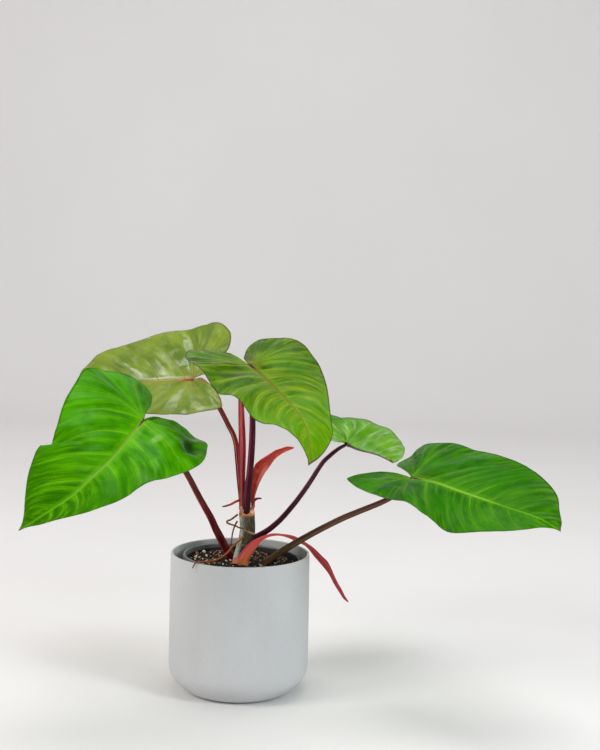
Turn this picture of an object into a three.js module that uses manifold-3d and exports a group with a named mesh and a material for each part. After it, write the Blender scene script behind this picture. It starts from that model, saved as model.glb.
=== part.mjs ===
// A potted climbing aroid with large heart-shaped leaves and red leaf stalks, standing in a
// pale cover pot with its grower's pot inside. Millimetres, +Z up, the origin at the centre of
// the cover pot's underside, the front of the plant towards -Y.
import * as THREE from 'three';
import { mergeVertices } from 'three/addons/utils/BufferGeometryUtils.js';
import Module from 'manifold-3d';

// ---------------------------------------------------------------- driving dimensions
const POT_HEIGHT = 170;            // cover pot, foot to rim
const POT_RIM_RADIUS = 84.2;       // outside, at the rim
const POT_BELLY_RADIUS = 85.2;     // outside, at its widest
const POT_WALL = 3;
const POT_FLOOR = 4.4;
const INNER_POT_HEIGHT = 158;      // grower's pot, set inside, leaning a little
const INNER_POT_RIM_RADIUS = 71.5;
const INNER_POT_FOOT_RADIUS = 54;
const INNER_POT_WALL = 1.5;
const INNER_POT_TILT = 2.4;        // degrees, its right side down
const INNER_POT_SEAT = [-4.5, 0, 7.1];   // centre of its underside
const SOIL_DEPTH = 151;            // height of the soil's top above the grower's pot underside
const GAP = 0.35;                  // kept between neighbouring pieces
const BLADE_THICKNESS = 1.2;
const SHEATH_THICKNESS = 1.3;
const ROUND_POT = 48;              // facets round the cover pot

// Centre lines of the round pieces (x, y, z from the bottom or the foot up) and the radii along them.
const TUBES = {
  petiole_front_left: {p: [[-8.6,15.5,154.1],[-16.8,11.6,169.0],[-23.8,5.6,183.8],[-30.6,-1.0,198.4],[-36.5,-8.0,213.3],[-43.1,-16.0,227.2],[-49.6,-24.4,241.1],[-55.7,-32.8,255.1],[-61.9,-41.3,269.0],[-68.5,-50.3,282.4],[-75.3,-59.6,295.4],[-82.4,-69.1,308.2],[-89.6,-78.8,320.8],[-98.4,-88.6,332.1],[-110.5,-98.3,340.1]],
    r: [5.6,5.2,4.6,4.2,3.9,3.7,3.5,3.4,3.2,2.9,2.2]},
  petiole_back_left: {p: [[0.6,9.4,222.1],[-0.7,10.6,235.1],[-2.3,12.5,248.0],[-3.8,14.9,260.9],[-5.2,17.5,273.7],[-6.9,20.9,286.3],[-8.8,25.1,298.6],[-12.9,30.3,309.8],[-19.0,36.6,319.6],[-24.8,43.2,329.4],[-30.9,49.7,339.0],[-37.8,55.8,348.4],[-45.4,61.6,357.5],[-54.3,66.3,365.9],[-65.7,71.4,369.1]],
    r: [3.2,3.3,3.4,3.4,3.3,3.2,3.1,3.1,3.0,2.8,2.2]},
  petiole_centre: {p: [[7.1,-6.4,220.9],[7.3,-7.0,236.1],[8.1,-8.3,251.3],[9.6,-9.9,266.3],[10.7,-12.7,281.3],[11.6,-16.1,296.1],[12.3,-20.0,310.8],[12.6,-24.8,325.3],[12.5,-30.3,339.4],[12.4,-36.6,353.3],[12.0,-43.6,366.8],[11.3,-51.3,380.0],[10.3,-60.8,391.8],[9.0,-71.6,402.4]],
    r: [4.9,4.6,4.0,4.0,3.8,3.6,3.5,3.3,2.2]},
  petiole_back_right: {p: [[18.9,2.2,188.7],[32.2,7.2,195.7],[42.0,12.6,202.9],[50.9,18.6,210.8],[58.9,24.7,219.5],[66.6,31.1,228.2],[73.7,38.0,237.1],[80.5,45.1,246.1],[86.9,52.5,255.1],[93.1,60.1,264.2],[99.5,68.4,272.3],[106.6,78.2,277.7],[113.5,88.7,282.0],[120.3,99.7,285.2],[126.8,111.1,287.6]],
    r: [3.6,3.5,3.4,3.3,3.2,3.1,3.0,2.9,2.8,2.6,2.0]},
  petiole_right: {p: [[19.7,-6.0,146.9],[30.8,-9.1,158.7],[43.0,-12.2,169.1],[55.9,-15.4,178.7],[69.2,-18.3,187.9],[82.6,-21.6,196.8],[96.1,-25.1,205.4],[109.9,-28.5,213.7],[123.7,-32.3,221.6],[137.8,-36.5,228.9],[151.9,-41.1,236.0],[165.5,-46.6,243.2],[178.2,-52.9,251.4],[189.6,-58.1,262.0],[200.6,-61.7,273.7]],
    r: [4.4,4.3,4.1,3.9,3.7,3.6,3.5,3.3,2.9,2.2]},
  main_stem: {p: [[-3.1,0.0,130.0],[-2.5,0.0,139.1],[-1.6,0.0,148.1],[-0.4,0.0,157.0],[1.5,0.0,165.9],[3.7,0.0,174.7],[5.8,0.0,183.5],[7.7,0.0,192.3],[8.3,0.0,201.3],[7.6,0.0,210.4],[6.9,0.0,219.4]],
    r: [9.6,9.6,9.5,9.4,9.2,9.1,9.2,9.4,9.2,9.3,9.5]},
  new_leaf_spear: {p: [[0.5,1.5,222.0],[0.6,1.8,237.4],[0.3,2.0,252.7],[-0.1,2.3,268.1],[-0.2,2.7,283.4],[-0.4,3.1,298.8],[-0.9,3.3,314.1],[-1.7,3.5,329.4],[-2.5,3.6,344.8],[-3.1,3.8,360.1],[-2.8,4.0,375.4],[-1.7,4.2,390.8]],
    r: [3.3,3.5,3.8,4.2,4.4,4.2,3.9,3.6,3.0,2.2,1.0]},
  aerial_root_long: {p: [[4.5,-11.6,192.2],[0.3,-13.8,188.1],[-4.3,-15.8,184.3],[-8.7,-18.3,180.7],[-11.9,-22.3,177.0],[-15.2,-26.7,174.0],[-18.7,-31.3,171.7],[-22.0,-36.5,170.4],[-25.1,-41.9,169.9],[-28.2,-47.3,169.7],[-31.6,-52.5,170.0],[-35.3,-57.6,170.6],[-39.5,-62.2,171.4],[-44.0,-66.6,172.0],[-49.3,-69.7,171.2],[-52.8,-71.0,165.7]],
    r: [1.3,1.3,1.2,1.2,1.1,1.1,1.0,1.0,0.9,0.7]},
  aerial_root_loop: {p: [[-3.9,-3.0,216.7],[-6.2,-3.9,214.9],[-8.5,-4.7,213.2],[-10.9,-5.6,211.5],[-13.4,-6.5,210.2],[-16.2,-7.4,209.3],[-16.4,-8.7,207.5],[-13.7,-9.6,206.3],[-10.9,-10.5,205.6],[-8.1,-11.3,205.0],[-5.2,-12.0,204.3],[-2.6,-12.2,202.8],[0.3,-12.1,202.1],[3.3,-12.0,201.8]],
    r: [1.3,1.2,1.1,1.1,1.1,1.0,0.9]},
  aerial_root_thin: {p: [[-4.1,-4.0,208.9],[-6.0,-5.3,205.6],[-7.5,-6.6,202.1],[-8.7,-7.9,198.4],[-9.5,-9.1,194.7],[-10.0,-10.1,190.9],[-10.3,-11.1,187.0],[-10.6,-12.1,183.1],[-10.9,-13.0,179.2]],
    r: [1.1,1.0,0.9,0.8,0.7]},
  root_tip_left: {p: [[-1.2,-5.0,234.9],[-4.2,-5.9,234.0],[-7.0,-6.7,232.8],[-9.7,-7.3,231.3],[-12.5,-7.9,229.8],[-15.5,-8.3,228.7],[-18.6,-8.7,227.8],[-21.7,-9.0,227.0]],
    r: [1.4,1.5,1.3,0.8]},
  root_tip_right: {p: [[14.0,-9.5,232.7],[15.0,-10.0,234.2],[16.0,-10.5,235.6],[17.2,-10.8,237.0],[18.7,-11.0,238.0],[20.5,-11.3,238.4],[22.3,-11.7,238.7],[24.1,-12.0,238.9]],
    r: [1.5,1.6,1.4,0.8]} };

// The two long edges of each bract, from the base to the tip.
const RIBBONS = {
  cataphyll_upper: [[[12.0,4.5,223.6],[11.7,5.2,231.2],[11.4,6.0,238.8],[11.1,7.0,246.3],[11.0,8.0,253.9],[11.7,8.8,261.5],[13.1,9.5,268.9],[15.6,10.2,276.1],[20.9,11.0,281.4],[27.1,11.8,285.7],[33.5,12.5,289.8],[39.9,13.2,293.9],[47.1,14.0,296.5],[54.4,14.5,298.7],[61.8,15.0,298.1]],
    [[16.4,2.5,224.7],[16.3,2.2,231.4],[16.4,2.0,238.1],[18.0,2.0,244.5],[20.0,2.0,250.8],[22.4,2.8,256.9],[25.3,3.5,262.7],[28.6,4.2,268.3],[32.3,5.0,273.6],[35.9,6.2,279.0],[39.7,7.5,284.2],[44.7,8.8,288.3],[50.1,10.0,291.7],[56.1,11.5,294.3],[62.1,13.0,296.7]]],
  cataphyll_lower: [[[-11.5,-16.0,154.8],[-8.3,-15.4,162.0],[-2.7,-14.4,167.7],[2.2,-12.6,173.9],[7.3,-10.4,180.0],[13.4,-8.0,185.1],[21.1,-5.0,188.4],[28.5,-2.1,190.5],[36.1,0.6,192.0],[44.0,3.1,191.9],[51.9,5.5,191.6],[59.8,7.6,190.6],[67.4,9.6,187.9],[74.4,11.4,183.7],[81.5,12.8,179.6],[88.2,14.0,174.8],[94.3,15.5,169.1],[100.0,17.0,163.1],[106.0,18.5,157.3],[110.3,19.8,150.1],[113.7,21.0,142.4],[117.3,22.2,134.7],[121.2,23.1,127.3],[125.4,23.4,120.2],[129.2,23.7,112.8],[133.8,24.0,106.0]],
    [[9.7,-20.0,155.5],[10.8,-19.4,162.6],[13.6,-18.8,169.2],[17.3,-18.2,175.3],[21.2,-17.2,181.2],[25.6,-16.0,186.7],[31.4,-14.2,190.6],[38.1,-12.3,192.8],[45.2,-10.2,193.3],[52.3,-7.9,192.0],[59.2,-5.5,189.4],[65.8,-2.8,185.8],[72.5,0.0,182.5],[78.9,3.0,178.4],[84.1,5.6,172.7],[88.7,8.0,166.3],[93.6,10.1,160.3],[98.6,12.2,154.4],[103.5,14.3,148.3],[108.1,15.8,142.1],[112.0,17.0,135.4],[115.4,18.2,128.5],[119.4,19.3,121.9],[123.6,20.2,115.5],[127.9,21.1,109.1],[133.4,22.0,104.6]]] };

// Each blade: where its stalk joins it (jx, jy, jz), the way its midrib points (az, el, roll in
// degrees), its length L, how the midrib arches (k1, k2, kl) and sweeps (ks), how the blade twists
// (tw), the width, lobe length, rise and curl of its two halves (w, l, a, b, g), then the small
// sideways and upward shifts of its midrib (M) and its two margins (WL, WR) from that plain form.
const LEAVES = {
  A: { jx: -109.9981, jy: -100.0858, jz: 338.0243, az: -109.107, el: -15.2993, roll: 40.5387, L: 205.407, k1: 0.8246, k2: 0.2734, kl: -0.7147, ks: -0.0846, tw: 0.2534, wL: 0.9696, wR: 1.0402, lL: 0.9458, lR: 1.0022, aL: 0.3163, aR: 0.1856, bL: 0.4066, bR: 0.7028, gL: -0.4684, gR: -0.2368,
    M: [[1.4,4.5],[1.8,0.1],[3.2,-4.5],[3.6,-6.2],[3.7,-7.0],[2.0,-3.2],[-0.0,0.9]],
    WL: [[-0.0,0.9],[2.9,1.9],[7.7,1.2],[11.7,2.8],[15.0,3.8],[16.1,6.2],[7.6,10.5],[-0.6,1.6],[6.6,1.2],[1.5,3.6],[-1.5,6.6],[-6.7,1.2],[-4.6,-0.1],[-0.7,-1.1],[0.5,-0.1],[1.5,4.7],[1.4,4.5]],
    WR: [[-0.0,0.9],[0.0,2.0],[-1.2,3.1],[-3.1,5.0],[-4.5,6.6],[-1.8,4.7],[6.2,-0.6],[1.7,-1.9],[-1.2,-0.4],[-5.1,3.9],[-2.7,-2.3],[2.4,-2.1],[2.5,-1.7],[2.4,-2.1],[0.5,0.3],[-1.3,2.2],[1.4,4.5]] },
  B: { jx: -73.4818, jy: 69.3967, jz: 372.6459, az: 163.3678, el: -2.9532, roll: 43.998, L: 192.576, k1: 0.3753, k2: 0.2865, kl: 0.2356, ks: -0.0279, tw: -0.0025, wL: 0.9734, wR: 1.0746, lL: 0.9397, lR: 0.9029, aL: 0.3114, aR: 0.3453, bL: 0.3837, bR: 1.0754, gL: -0.4189, gR: 0.4044,
    M: [[7.0,-1.3],[6.2,-1.6],[5.6,-1.3],[5.3,-1.0],[5.2,-0.7],[5.4,-0.5],[5.7,-0.3]],
    WL: [[5.7,-0.3],[4.0,-1.4],[2.6,-2.1],[1.7,-1.5],[1.1,-0.6],[0.6,0.2],[0.2,0.8],[0.2,1.1],[0.4,1.1],[2.2,1.3],[3.7,1.2],[8.0,-1.4],[-1.0,-7.3],[-5.8,-4.4],[-0.9,-1.2],[5.7,3.5],[7.0,-1.3]],
    WR: [[5.7,-0.3],[3.9,4.3],[1.5,8.4],[-3.0,11.6],[-6.6,8.0],[-9.5,2.5],[1.8,-1.7],[9.9,-1.6],[8.1,-4.8],[4.8,2.4],[3.1,5.7],[2.1,4.1],[-2.6,4.7],[-8.4,1.7],[-7.8,-3.4],[-0.6,-1.0],[7.0,-1.3]] },
  C: { jx: 10.0592, jy: -72.4422, jz: 405.5491, az: -60.6427, el: -14.8252, roll: -2.6477, L: 189.1915, k1: 0.1849, k2: 0.5559, kl: -0.3646, ks: -0.0138, tw: 0.0412, wL: 0.9554, wR: 0.9924, lL: 0.9298, lR: 1.0077, aL: 0.2997, aR: 0.1648, bL: 0.4214, bR: 0.5684, gL: 0.1532, gR: -0.0526,
    M: [[-0.8,0.1],[1.4,-1.8],[3.3,-3.2],[5.2,-3.3],[6.6,-1.8],[1.6,-0.1],[-8.9,1.9]],
    WL: [[-8.9,1.9],[-5.2,-1.3],[-0.6,-5.1],[3.9,-8.8],[6.0,-11.6],[0.0,-9.6],[-2.4,-4.3],[-4.5,0.3],[-4.9,2.8],[-0.9,4.7],[0.5,2.9],[2.0,0.3],[2.8,0.1],[2.4,-2.9],[0.3,-1.9],[-4.4,1.3],[-0.8,0.1]],
    WR: [[-8.9,1.9],[-6.3,2.8],[-5.3,5.9],[-3.1,9.3],[-2.4,5.8],[-3.7,-5.5],[-2.0,3.5],[0.5,-7.0],[0.4,6.2],[-0.8,4.1],[-0.9,1.9],[-0.1,0.9],[2.1,-2.3],[3.5,-1.1],[2.8,0.7],[0.9,-0.7],[-0.8,0.1]] },
  E: { jx: 208.5407, jy: -62.6176, jz: 276.8123, az: -39.812, el: -5.9043, roll: -16.7116, L: 200.6501, k1: 0.1157, k2: 0.0551, kl: -0.5497, ks: 0.0124, tw: 0.4949, wL: 1.0863, wR: 1.0027, lL: 0.8816, lR: 1.0328, aL: 0.1836, aR: 0.2167, bL: 0.6116, bR: 0.3204, gL: 0.1405, gR: -0.3149,
    M: [[-8.3,0.2],[-7.0,2.3],[-5.9,0.9],[-4.6,0.3],[-3.5,0.8],[-3.3,1.9],[-9.3,0.1]],
    WL: [[-9.3,0.1],[-4.5,-0.7],[1.5,-0.7],[5.9,-1.7],[13.1,-3.1],[10.9,-3.0],[5.4,-3.7],[-0.1,-4.0],[-4.3,-2.3],[-4.5,3.5],[-8.9,4.2],[3.7,3.9],[11.7,0.8],[2.8,-1.6],[-1.5,0.6],[-3.5,3.0],[-8.3,0.2]],
    WR: [[-9.3,0.1],[-6.2,0.8],[-3.4,1.7],[-0.1,2.8],[0.8,-0.2],[-1.7,-2.7],[-5.7,-7.9],[2.7,2.0],[12.1,3.3],[16.1,-5.6],[5.0,-3.9],[-1.3,-1.7],[-3.9,-3.3],[-3.8,-0.7],[-4.5,2.1],[-6.8,2.1],[-8.3,0.2]] },
  D: { jx: 114.0635, jy: 110.8827, jz: 290.0959, az: 54.7627, el: -13.3192, roll: -23.6462, L: 180.8961, k1: 0.1216, k2: 0.0135, kl: -0.0286, ks: 0.0339, tw: 0.1984, wL: 1.0, wR: 0.9713, lL: 1.0, lR: 1.0671, aL: 0.36, aR: 1.008, bL: 0.75, bR: 0.8936, gL: 0.0, gR: 0.2657,
    M: [[14.1,-0.1],[8.9,-2.3],[4.9,-1.9],[1.9,-0.1],[-1.0,1.2],[-3.9,1.5],[-6.6,1.8]],
    WL: [[-6.6,1.8],[-6.1,1.8],[-5.4,1.7],[-4.3,1.6],[-2.5,1.4],[-0.2,0.9],[2.5,-0.5],[5.7,-2.1],[10.0,-2.0],[14.1,-0.1],[14.1,-0.1],[14.1,-0.1],[14.1,-0.1],[14.1,-0.1],[14.1,-0.1],[14.1,-0.1],[14.1,-0.1]],
    WR: [[-6.6,1.8],[-3.1,0.9],[-0.1,-0.2],[2.5,-0.6],[2.1,-2.3],[1.1,-2.0],[-1.1,-2.3],[-2.3,-0.9],[-1.7,1.5],[-2.6,1.0],[-2.8,0.9],[-1.8,-0.2],[-0.9,1.7],[0.3,0.0],[-1.0,-0.3],[-2.0,0.2],[14.1,-0.1]] } };

// Half outline of the blade, tip to lobe to notch, for a blade of length 1.
const OUTLINE = [[1.0, 0.0], [0.965, 0.012], [0.92, 0.034], [0.84, 0.092], [0.72, 0.175], [0.57, 0.262],
  [0.40, 0.335], [0.22, 0.385], [0.04, 0.402], [-0.12, 0.378], [-0.245, 0.312], [-0.315, 0.215],
  [-0.30, 0.118], [-0.205, 0.056], [-0.085, 0.022], [0.0, 0.0]];
// the two directions that the blade shifts are given along
const SIDEWAYS = new THREE.Vector3(0.999722, 0.002401, 0.023437);
const UPWARD = new THREE.Vector3(-0.023560, 0.101896, 0.994516);

// ---------------------------------------------------------------- curves
function crom(pts, t) {
  const n = pts.length, u = Math.min(Math.max(t, 0), 1) * (n - 1);
  const i = Math.min(Math.floor(u), n - 2), f = u - i;
  const p1 = pts[i], p2 = pts[i + 1];
  const p0 = i > 0 ? pts[i - 1] : p1.map((v, k) => 2 * v - p2[k]);
  const p3 = i < n - 2 ? pts[i + 2] : p2.map((v, k) => 2 * v - p1[k]);
  return p1.map((v, k) => 0.5 * (2 * v + (-p0[k] + p2[k]) * f + (2 * p0[k] - 5 * v + 4 * p2[k] - p3[k]) * f * f
    + (-p0[k] + 3 * v - 3 * p2[k] + p3[k]) * f * f * f));
}
function lerpList(list, t) {
  const u = Math.min(Math.max(t, 0), 1) * (list.length - 1), i = Math.min(Math.floor(u), list.length - 2);
  return list[i] + (list[i + 1] - list[i]) * (u - i);
}
const V = (a) => new THREE.Vector3(a[0], a[1], a[2]);

function closed(positions, index) {
  const g = new THREE.BufferGeometry();
  g.setAttribute('position', new THREE.Float32BufferAttribute(positions.flatMap((p) => [p.x, p.y, p.z]), 3));
  g.setIndex(index);
  g.computeVertexNormals();
  return g;
}

// A round, tapering piece along a centre line, closed at both ends.
function tube(points, radii, rings, sides, grow = 0, extend = 0) {
  const c = [];
  for (let i = 0; i < rings; i++) c.push(V(crom(points, i / (rings - 1))));
  if (extend) c[0].addScaledVector(c[1].clone().sub(c[0]).normalize(), -extend);
  const P = [], I = [];
  let x = null;
  for (let i = 0; i < rings; i++) {
    const t = c[Math.min(i + 1, rings - 1)].clone().sub(c[Math.max(i - 1, 0)]).normalize();
    if (!x) x = new THREE.Vector3(1, 0.3, 0.2);
    x = x.clone().addScaledVector(t, -x.dot(t)).normalize();
    const y = t.clone().cross(x), r = lerpList(radii, i / (rings - 1)) + grow;
    for (let k = 0; k < sides; k++) {
      const a = 2 * Math.PI * k / sides;
      P.push(c[i].clone().addScaledVector(x, r * Math.cos(a)).addScaledVector(y, r * Math.sin(a)));
    }
  }
  for (let i = 0; i < rings - 1; i++) for (let k = 0; k < sides; k++) {
    const a = i * sides + k, b = i * sides + (k + 1) % sides, d = a + sides, e = b + sides;
    I.push(a, b, e, a, e, d);
  }
  const s = P.length; P.push(c[0].clone()); const q = P.length; P.push(c[rings - 1].clone());
  for (let k = 0; k < sides; k++) {
    I.push(s, (k + 1) % sides, k);
    I.push(q, (rings - 1) * sides + k, (rings - 1) * sides + (k + 1) % sides);
  }
  return closed(P, I);
}

// A sheet of thickness t over a grid of points, closed round its border.
// grid is given as a vertex list and triangles that all face the same way.
function thicken(verts, tris, t) {
  const n = verts.map(() => new THREE.Vector3());
  for (const [a, b, c] of tris) {
    const m = verts[b].clone().sub(verts[a]).cross(verts[c].clone().sub(verts[a]));
    n[a].add(m); n[b].add(m); n[c].add(m);
  }
  const P = [], I = [], N = verts.length;
  verts.forEach((v, i) => P.push(v.clone().addScaledVector(n[i].normalize(), t / 2)));
  verts.forEach((v, i) => P.push(v.clone().addScaledVector(n[i], -t / 2)));
  const edge = new Map();
  for (const [a, b, c] of tris) {
    I.push(a, b, c, N + a, N + c, N + b);
    for (const [u, w] of [[a, b], [b, c], [c, a]]) {
      const back = w + '_' + u;
      if (edge.has(back)) edge.delete(back); else edge.set(u + '_' + w, [u, w]);
    }
  }
  for (const [u, w] of edge.values()) I.push(u, N + u, N + w, u, N + w, w);
  return closed(P, I);
}

// ---------------------------------------------------------------- leaf blades
function blade(d, nv, ns) {
  const R = Math.PI / 180, az = d.az * R, el = d.el * R, ro = d.roll * R;
  const h = new THREE.Vector3(Math.cos(az), Math.sin(az), 0), z = new THREE.Vector3(0, 0, 1);
  const ea = h.clone().multiplyScalar(Math.cos(el)).addScaledVector(z, Math.sin(el));
  const n0 = z.clone().multiplyScalar(Math.cos(el)).addScaledVector(h, -Math.sin(el));
  const b0 = n0.clone().cross(ea);
  const en = n0.clone().multiplyScalar(Math.cos(ro)).addScaledVector(b0, Math.sin(ro));
  const eb = en.clone().cross(ea);
  // the midrib, stepped along its length
  const U = [], X = [0], Z = [0], phi = [];
  for (let i = 0; i <= 160; i++) { const u = -0.5 + 0.01 * i; U.push(u); phi.push(u >= 0 ? -(d.k1 * u + d.k2 * u * u) : d.kl * u); }
  for (let i = 1; i <= 160; i++) {
    X.push(X[i - 1] + 0.005 * (Math.cos(phi[i]) + Math.cos(phi[i - 1])));
    Z.push(Z[i - 1] + 0.005 * (Math.sin(phi[i]) + Math.sin(phi[i - 1])));
  }
  const at = (list, u) => { const q = Math.min(Math.max((u + 0.5) / 0.01, 0), 159.999), i = Math.floor(q); return list[i] + (list[i + 1] - list[i]) * (q - i); };
  const X0 = at(X, 0), Z0 = at(Z, 0);
  const J = new THREE.Vector3(d.jx, d.jy, d.jz);
  function point(side, v, s) {
    const q = crom(OUTLINE, v), left = side > 0;
    const a = q[0] < 0 ? q[0] * (left ? d.lL : d.lR) : q[0];
    const b = Math.max(q[1] * (left ? d.wL : d.wR), 0);
    const a0 = Math.max(q[0], 0), b0_ = Math.max(q[1], 0);
    let m = a0 - 0.55 * b0_;
    m = 0.5 * (m + Math.sqrt(m * m + 0.0016));
    m = Math.max(0, (m - 0.02) / 0.98);
    m = q[0] <= 0 ? 0 : Math.min(m, a0);
    const A = (1 - s) * (1 - s) * m + 2 * s * (1 - s) * (m + (a - m) * 0.30) + s * s * a;
    const B = 2 * s * (1 - s) * b * 0.60 + s * s * b;
    const al = (left ? d.aL : d.aR) + (left ? d.gL : d.gR) * Math.max(0, -A);
    let be = left ? d.bL : d.bR; if (Math.abs(be) < 1e-4) be = 1e-4;
    const y = side * (Math.sin(al) - Math.sin(al - be * B)) / be, w = (Math.cos(al - be * B) - Math.cos(al)) / be;
    const t = d.tw * A, y2 = y * Math.cos(t) - w * Math.sin(t), z2 = y * Math.sin(t) + w * Math.cos(t);
    const p = at(phi, A), x = at(X, A) - X0, n = at(Z, A) - Z0;
    const P = J.clone().addScaledVector(ea, d.L * (x - z2 * Math.sin(p))).addScaledVector(en, d.L * (n + z2 * Math.cos(p)))
      .addScaledVector(eb, d.L * (y2 + d.ks * A * Math.abs(A)));
    const M = crom(d.M, Math.min(Math.max(m, 0), 1)), E = crom(left ? d.WL : d.WR, v);
    return P.addScaledVector(SIDEWAYS, M[0] * (1 - s) + E[0] * s).addScaledVector(UPWARD, M[1] * (1 - s) + E[1] * s);
  }
  const verts = [], tris = [], id = new Map();
  const TIP = 'tip', HEEL = 'heel';
  const get = (side, i, j) => {
    const v = i / (nv - 1), q = crom(OUTLINE, v);
    let key = side + '_' + i + '_' + j;
    if (i === 0) key = TIP; else if (i === nv - 1) key = HEEL;
    else if (j === 0) key = q[0] <= 0 ? HEEL : 'mid_' + i;
    if (!id.has(key)) { id.set(key, verts.length); verts.push(point(side, key === HEEL ? 1 : v, key === HEEL ? 0 : j / (ns - 1))); }
    return id.get(key);
  };
  for (const side of [1, -1]) for (let i = 0; i < nv - 1; i++) for (let j = 0; j < ns - 1; j++) {
    const a = get(side, i, j), b = get(side, i + 1, j), c = get(side, i + 1, j + 1), e = get(side, i, j + 1);
    for (const t of [[a, b, c], [a, c, e]]) {
      if (t[0] === t[1] || t[1] === t[2] || t[0] === t[2]) continue;
      tris.push(side > 0 ? [t[0], t[2], t[1]] : t);
    }
  }
  return thicken(verts, tris, BLADE_THICKNESS);
}

// ---------------------------------------------------------------- bracts (long, troughed, thin)
function bract(edges, n, t, arch, grow = 0, upto = 1) {
  const [A, B] = edges, verts = [], tris = [], W = 5;
  for (let i = 0; i < n; i++) {
    const s = i / (n - 1) * upto, a = V(crom(A, s)), b = V(crom(B, s));
    const a2 = V(crom(A, Math.min(s + 0.02, 1))), a1 = V(crom(A, Math.max(s - 0.02, 0)));
    const along = a2.sub(a1).normalize(), across = b.clone().sub(a), w = across.length();
    across.normalize();
    const up = across.clone().cross(along).normalize();
    if (i === 0) a.addScaledVector(along, -2 * grow);
    for (let j = 0; j < W; j++) {
      const f = j / (W - 1);
      verts.push(a.clone().addScaledVector(across, -grow + f * (w + 2 * grow)).addScaledVector(up, arch * w * f * (1 - f)));
    }
  }
  for (let i = 0; i < n - 1; i++) for (let j = 0; j < W - 1; j++) {
    const a = i * W + j, b = a + 1, d = a + W, e = d + 1;
    tris.push([a, b, e], [a, e, d]);
  }
  return thicken(verts, tris, t + 2 * grow);
}

// ---------------------------------------------------------------- pots and soil
function turned(profile, facets) {
  // the profile runs from the axis out and back to the axis
  const g = mergeVertices(strip(new THREE.LatheGeometry(profile.map(([r, z]) => new THREE.Vector2(r, z)), facets)), 1e-4);
  g.rotateX(Math.PI / 2);
  return outward(dropEmpty(g));
}
function strip(g) { const k = g.clone(); k.deleteAttribute('normal'); k.deleteAttribute('uv'); return k; }
function dropEmpty(g) {
  const I = g.index.array, keep = [];
  for (let i = 0; i < I.length; i += 3) if (I[i] !== I[i + 1] && I[i + 1] !== I[i + 2] && I[i] !== I[i + 2]) keep.push(I[i], I[i + 1], I[i + 2]);
  g.setIndex(keep);
  return g;
}
function volume(g) {
  const p = g.attributes.position, I = g.index.array; let v = 0;
  const a = new THREE.Vector3(), b = new THREE.Vector3(), c = new THREE.Vector3();
  for (let i = 0; i < I.length; i += 3) {
    a.fromBufferAttribute(p, I[i]); b.fromBufferAttribute(p, I[i + 1]); c.fromBufferAttribute(p, I[i + 2]);
    v += a.dot(b.cross(c)) / 6;
  }
  return v;
}
function outward(g) {
  if (volume(g) < 0) { const I = Array.from(g.index.array); for (let i = 0; i < I.length; i += 3) [I[i + 1], I[i + 2]] = [I[i + 2], I[i + 1]]; g.setIndex(I); }
  return g;
}

const wasm = await Module();
wasm.setup();
function solid(g) {
  const m = outward(mergeVertices(strip(g), 1e-4));
  return new wasm.Manifold(new wasm.Mesh({ numProp: 3, vertProperties: new Float32Array(m.attributes.position.array), triVerts: new Uint32Array(m.index.array) }));
}
function shape(man) {
  const m = man.getMesh(), g = new THREE.BufferGeometry(), np = m.numProp, P = [];
  for (let i = 0; i < m.vertProperties.length; i += np) P.push(m.vertProperties[i], m.vertProperties[i + 1], m.vertProperties[i + 2]);
  g.setAttribute('position', new THREE.Float32BufferAttribute(P, 3));
  g.setIndex(Array.from(m.triVerts));
  g.computeVertexNormals();
  return g;
}

const rim = POT_RIM_RADIUS, belly = POT_BELLY_RADIUS, H = POT_HEIGHT, w = POT_WALL;
const outerPot = turned([
  [0, 0], [53, 0], [60, 1], [65.3, 3], [69.4, 6], [73.5, 10], [78.2, 15], [82.3, 21], [belly - 0.6, 28], [belly, 38], [belly - 0.1, 70], [belly - 0.4, 120],
  [rim + 0.1, H - 3], [rim - 0.4, H - 0.7], [rim - 1.1, H], [rim - w + 0.6, H], [rim - w, H - 0.8], [belly - w - 0.3, 110], [belly - w, 60],
  [belly - w - 0.3, 38], [79.5, 26], [75.3, 18], [70, 12], [64, 8], [57, POT_FLOOR + 1], [48, POT_FLOOR], [0, POT_FLOOR]], ROUND_POT);

const ri = INNER_POT_RIM_RADIUS, rf = INNER_POT_FOOT_RADIUS, t1 = INNER_POT_WALL, hi = INNER_POT_HEIGHT;
const innerAt = (z) => rf - t1 + (ri - 3.2 - (rf - t1)) * z / hi;      // inside radius at a height
const nurseryPlain = turned([
  [0, 0], [rf - 3, 0], [rf, 2.5], [innerAt(hi - 9) + t1, hi - 9], [ri, hi - 8.6], [ri, hi - 0.8], [ri - 0.7, hi], [ri - 2.4, hi], [ri - 2.9, hi - 0.8],
  [innerAt(hi - 6), hi - 9], [innerAt(4), t1 + 2.4], [innerAt(0) - 2.2, t1], [0, t1]], 40);
// water holes in its underside
let nurseryMan = solid(nurseryPlain);
for (let k = 0; k < 5; k++) {
  const a = 2 * Math.PI * (k + 0.3) / 5, hole = new THREE.CylinderGeometry(4.5, 4.5, 8, 10);
  hole.rotateX(Math.PI / 2); hole.translate(36 * Math.cos(a), 36 * Math.sin(a), 0.5);
  nurseryMan = nurseryMan.subtract(solid(hole));
}
const lean = new THREE.Matrix4().makeRotationY(INNER_POT_TILT * Math.PI / 180).setPosition(...INNER_POT_SEAT);
const nurseryPot = shape(nurseryMan); nurseryPot.applyMatrix4(lean);

const z0 = t1 + GAP, zs = SOIL_DEPTH;
const soilPlain = turned([[0, z0], [innerAt(0) - 3.0, z0], [innerAt(4) - GAP - 0.3, z0 + 2.6], [innerAt(zs) - GAP, zs - 1.5], [innerAt(zs) - GAP - 2, zs], [0, zs]], 40);
soilPlain.applyMatrix4(lean);
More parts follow.
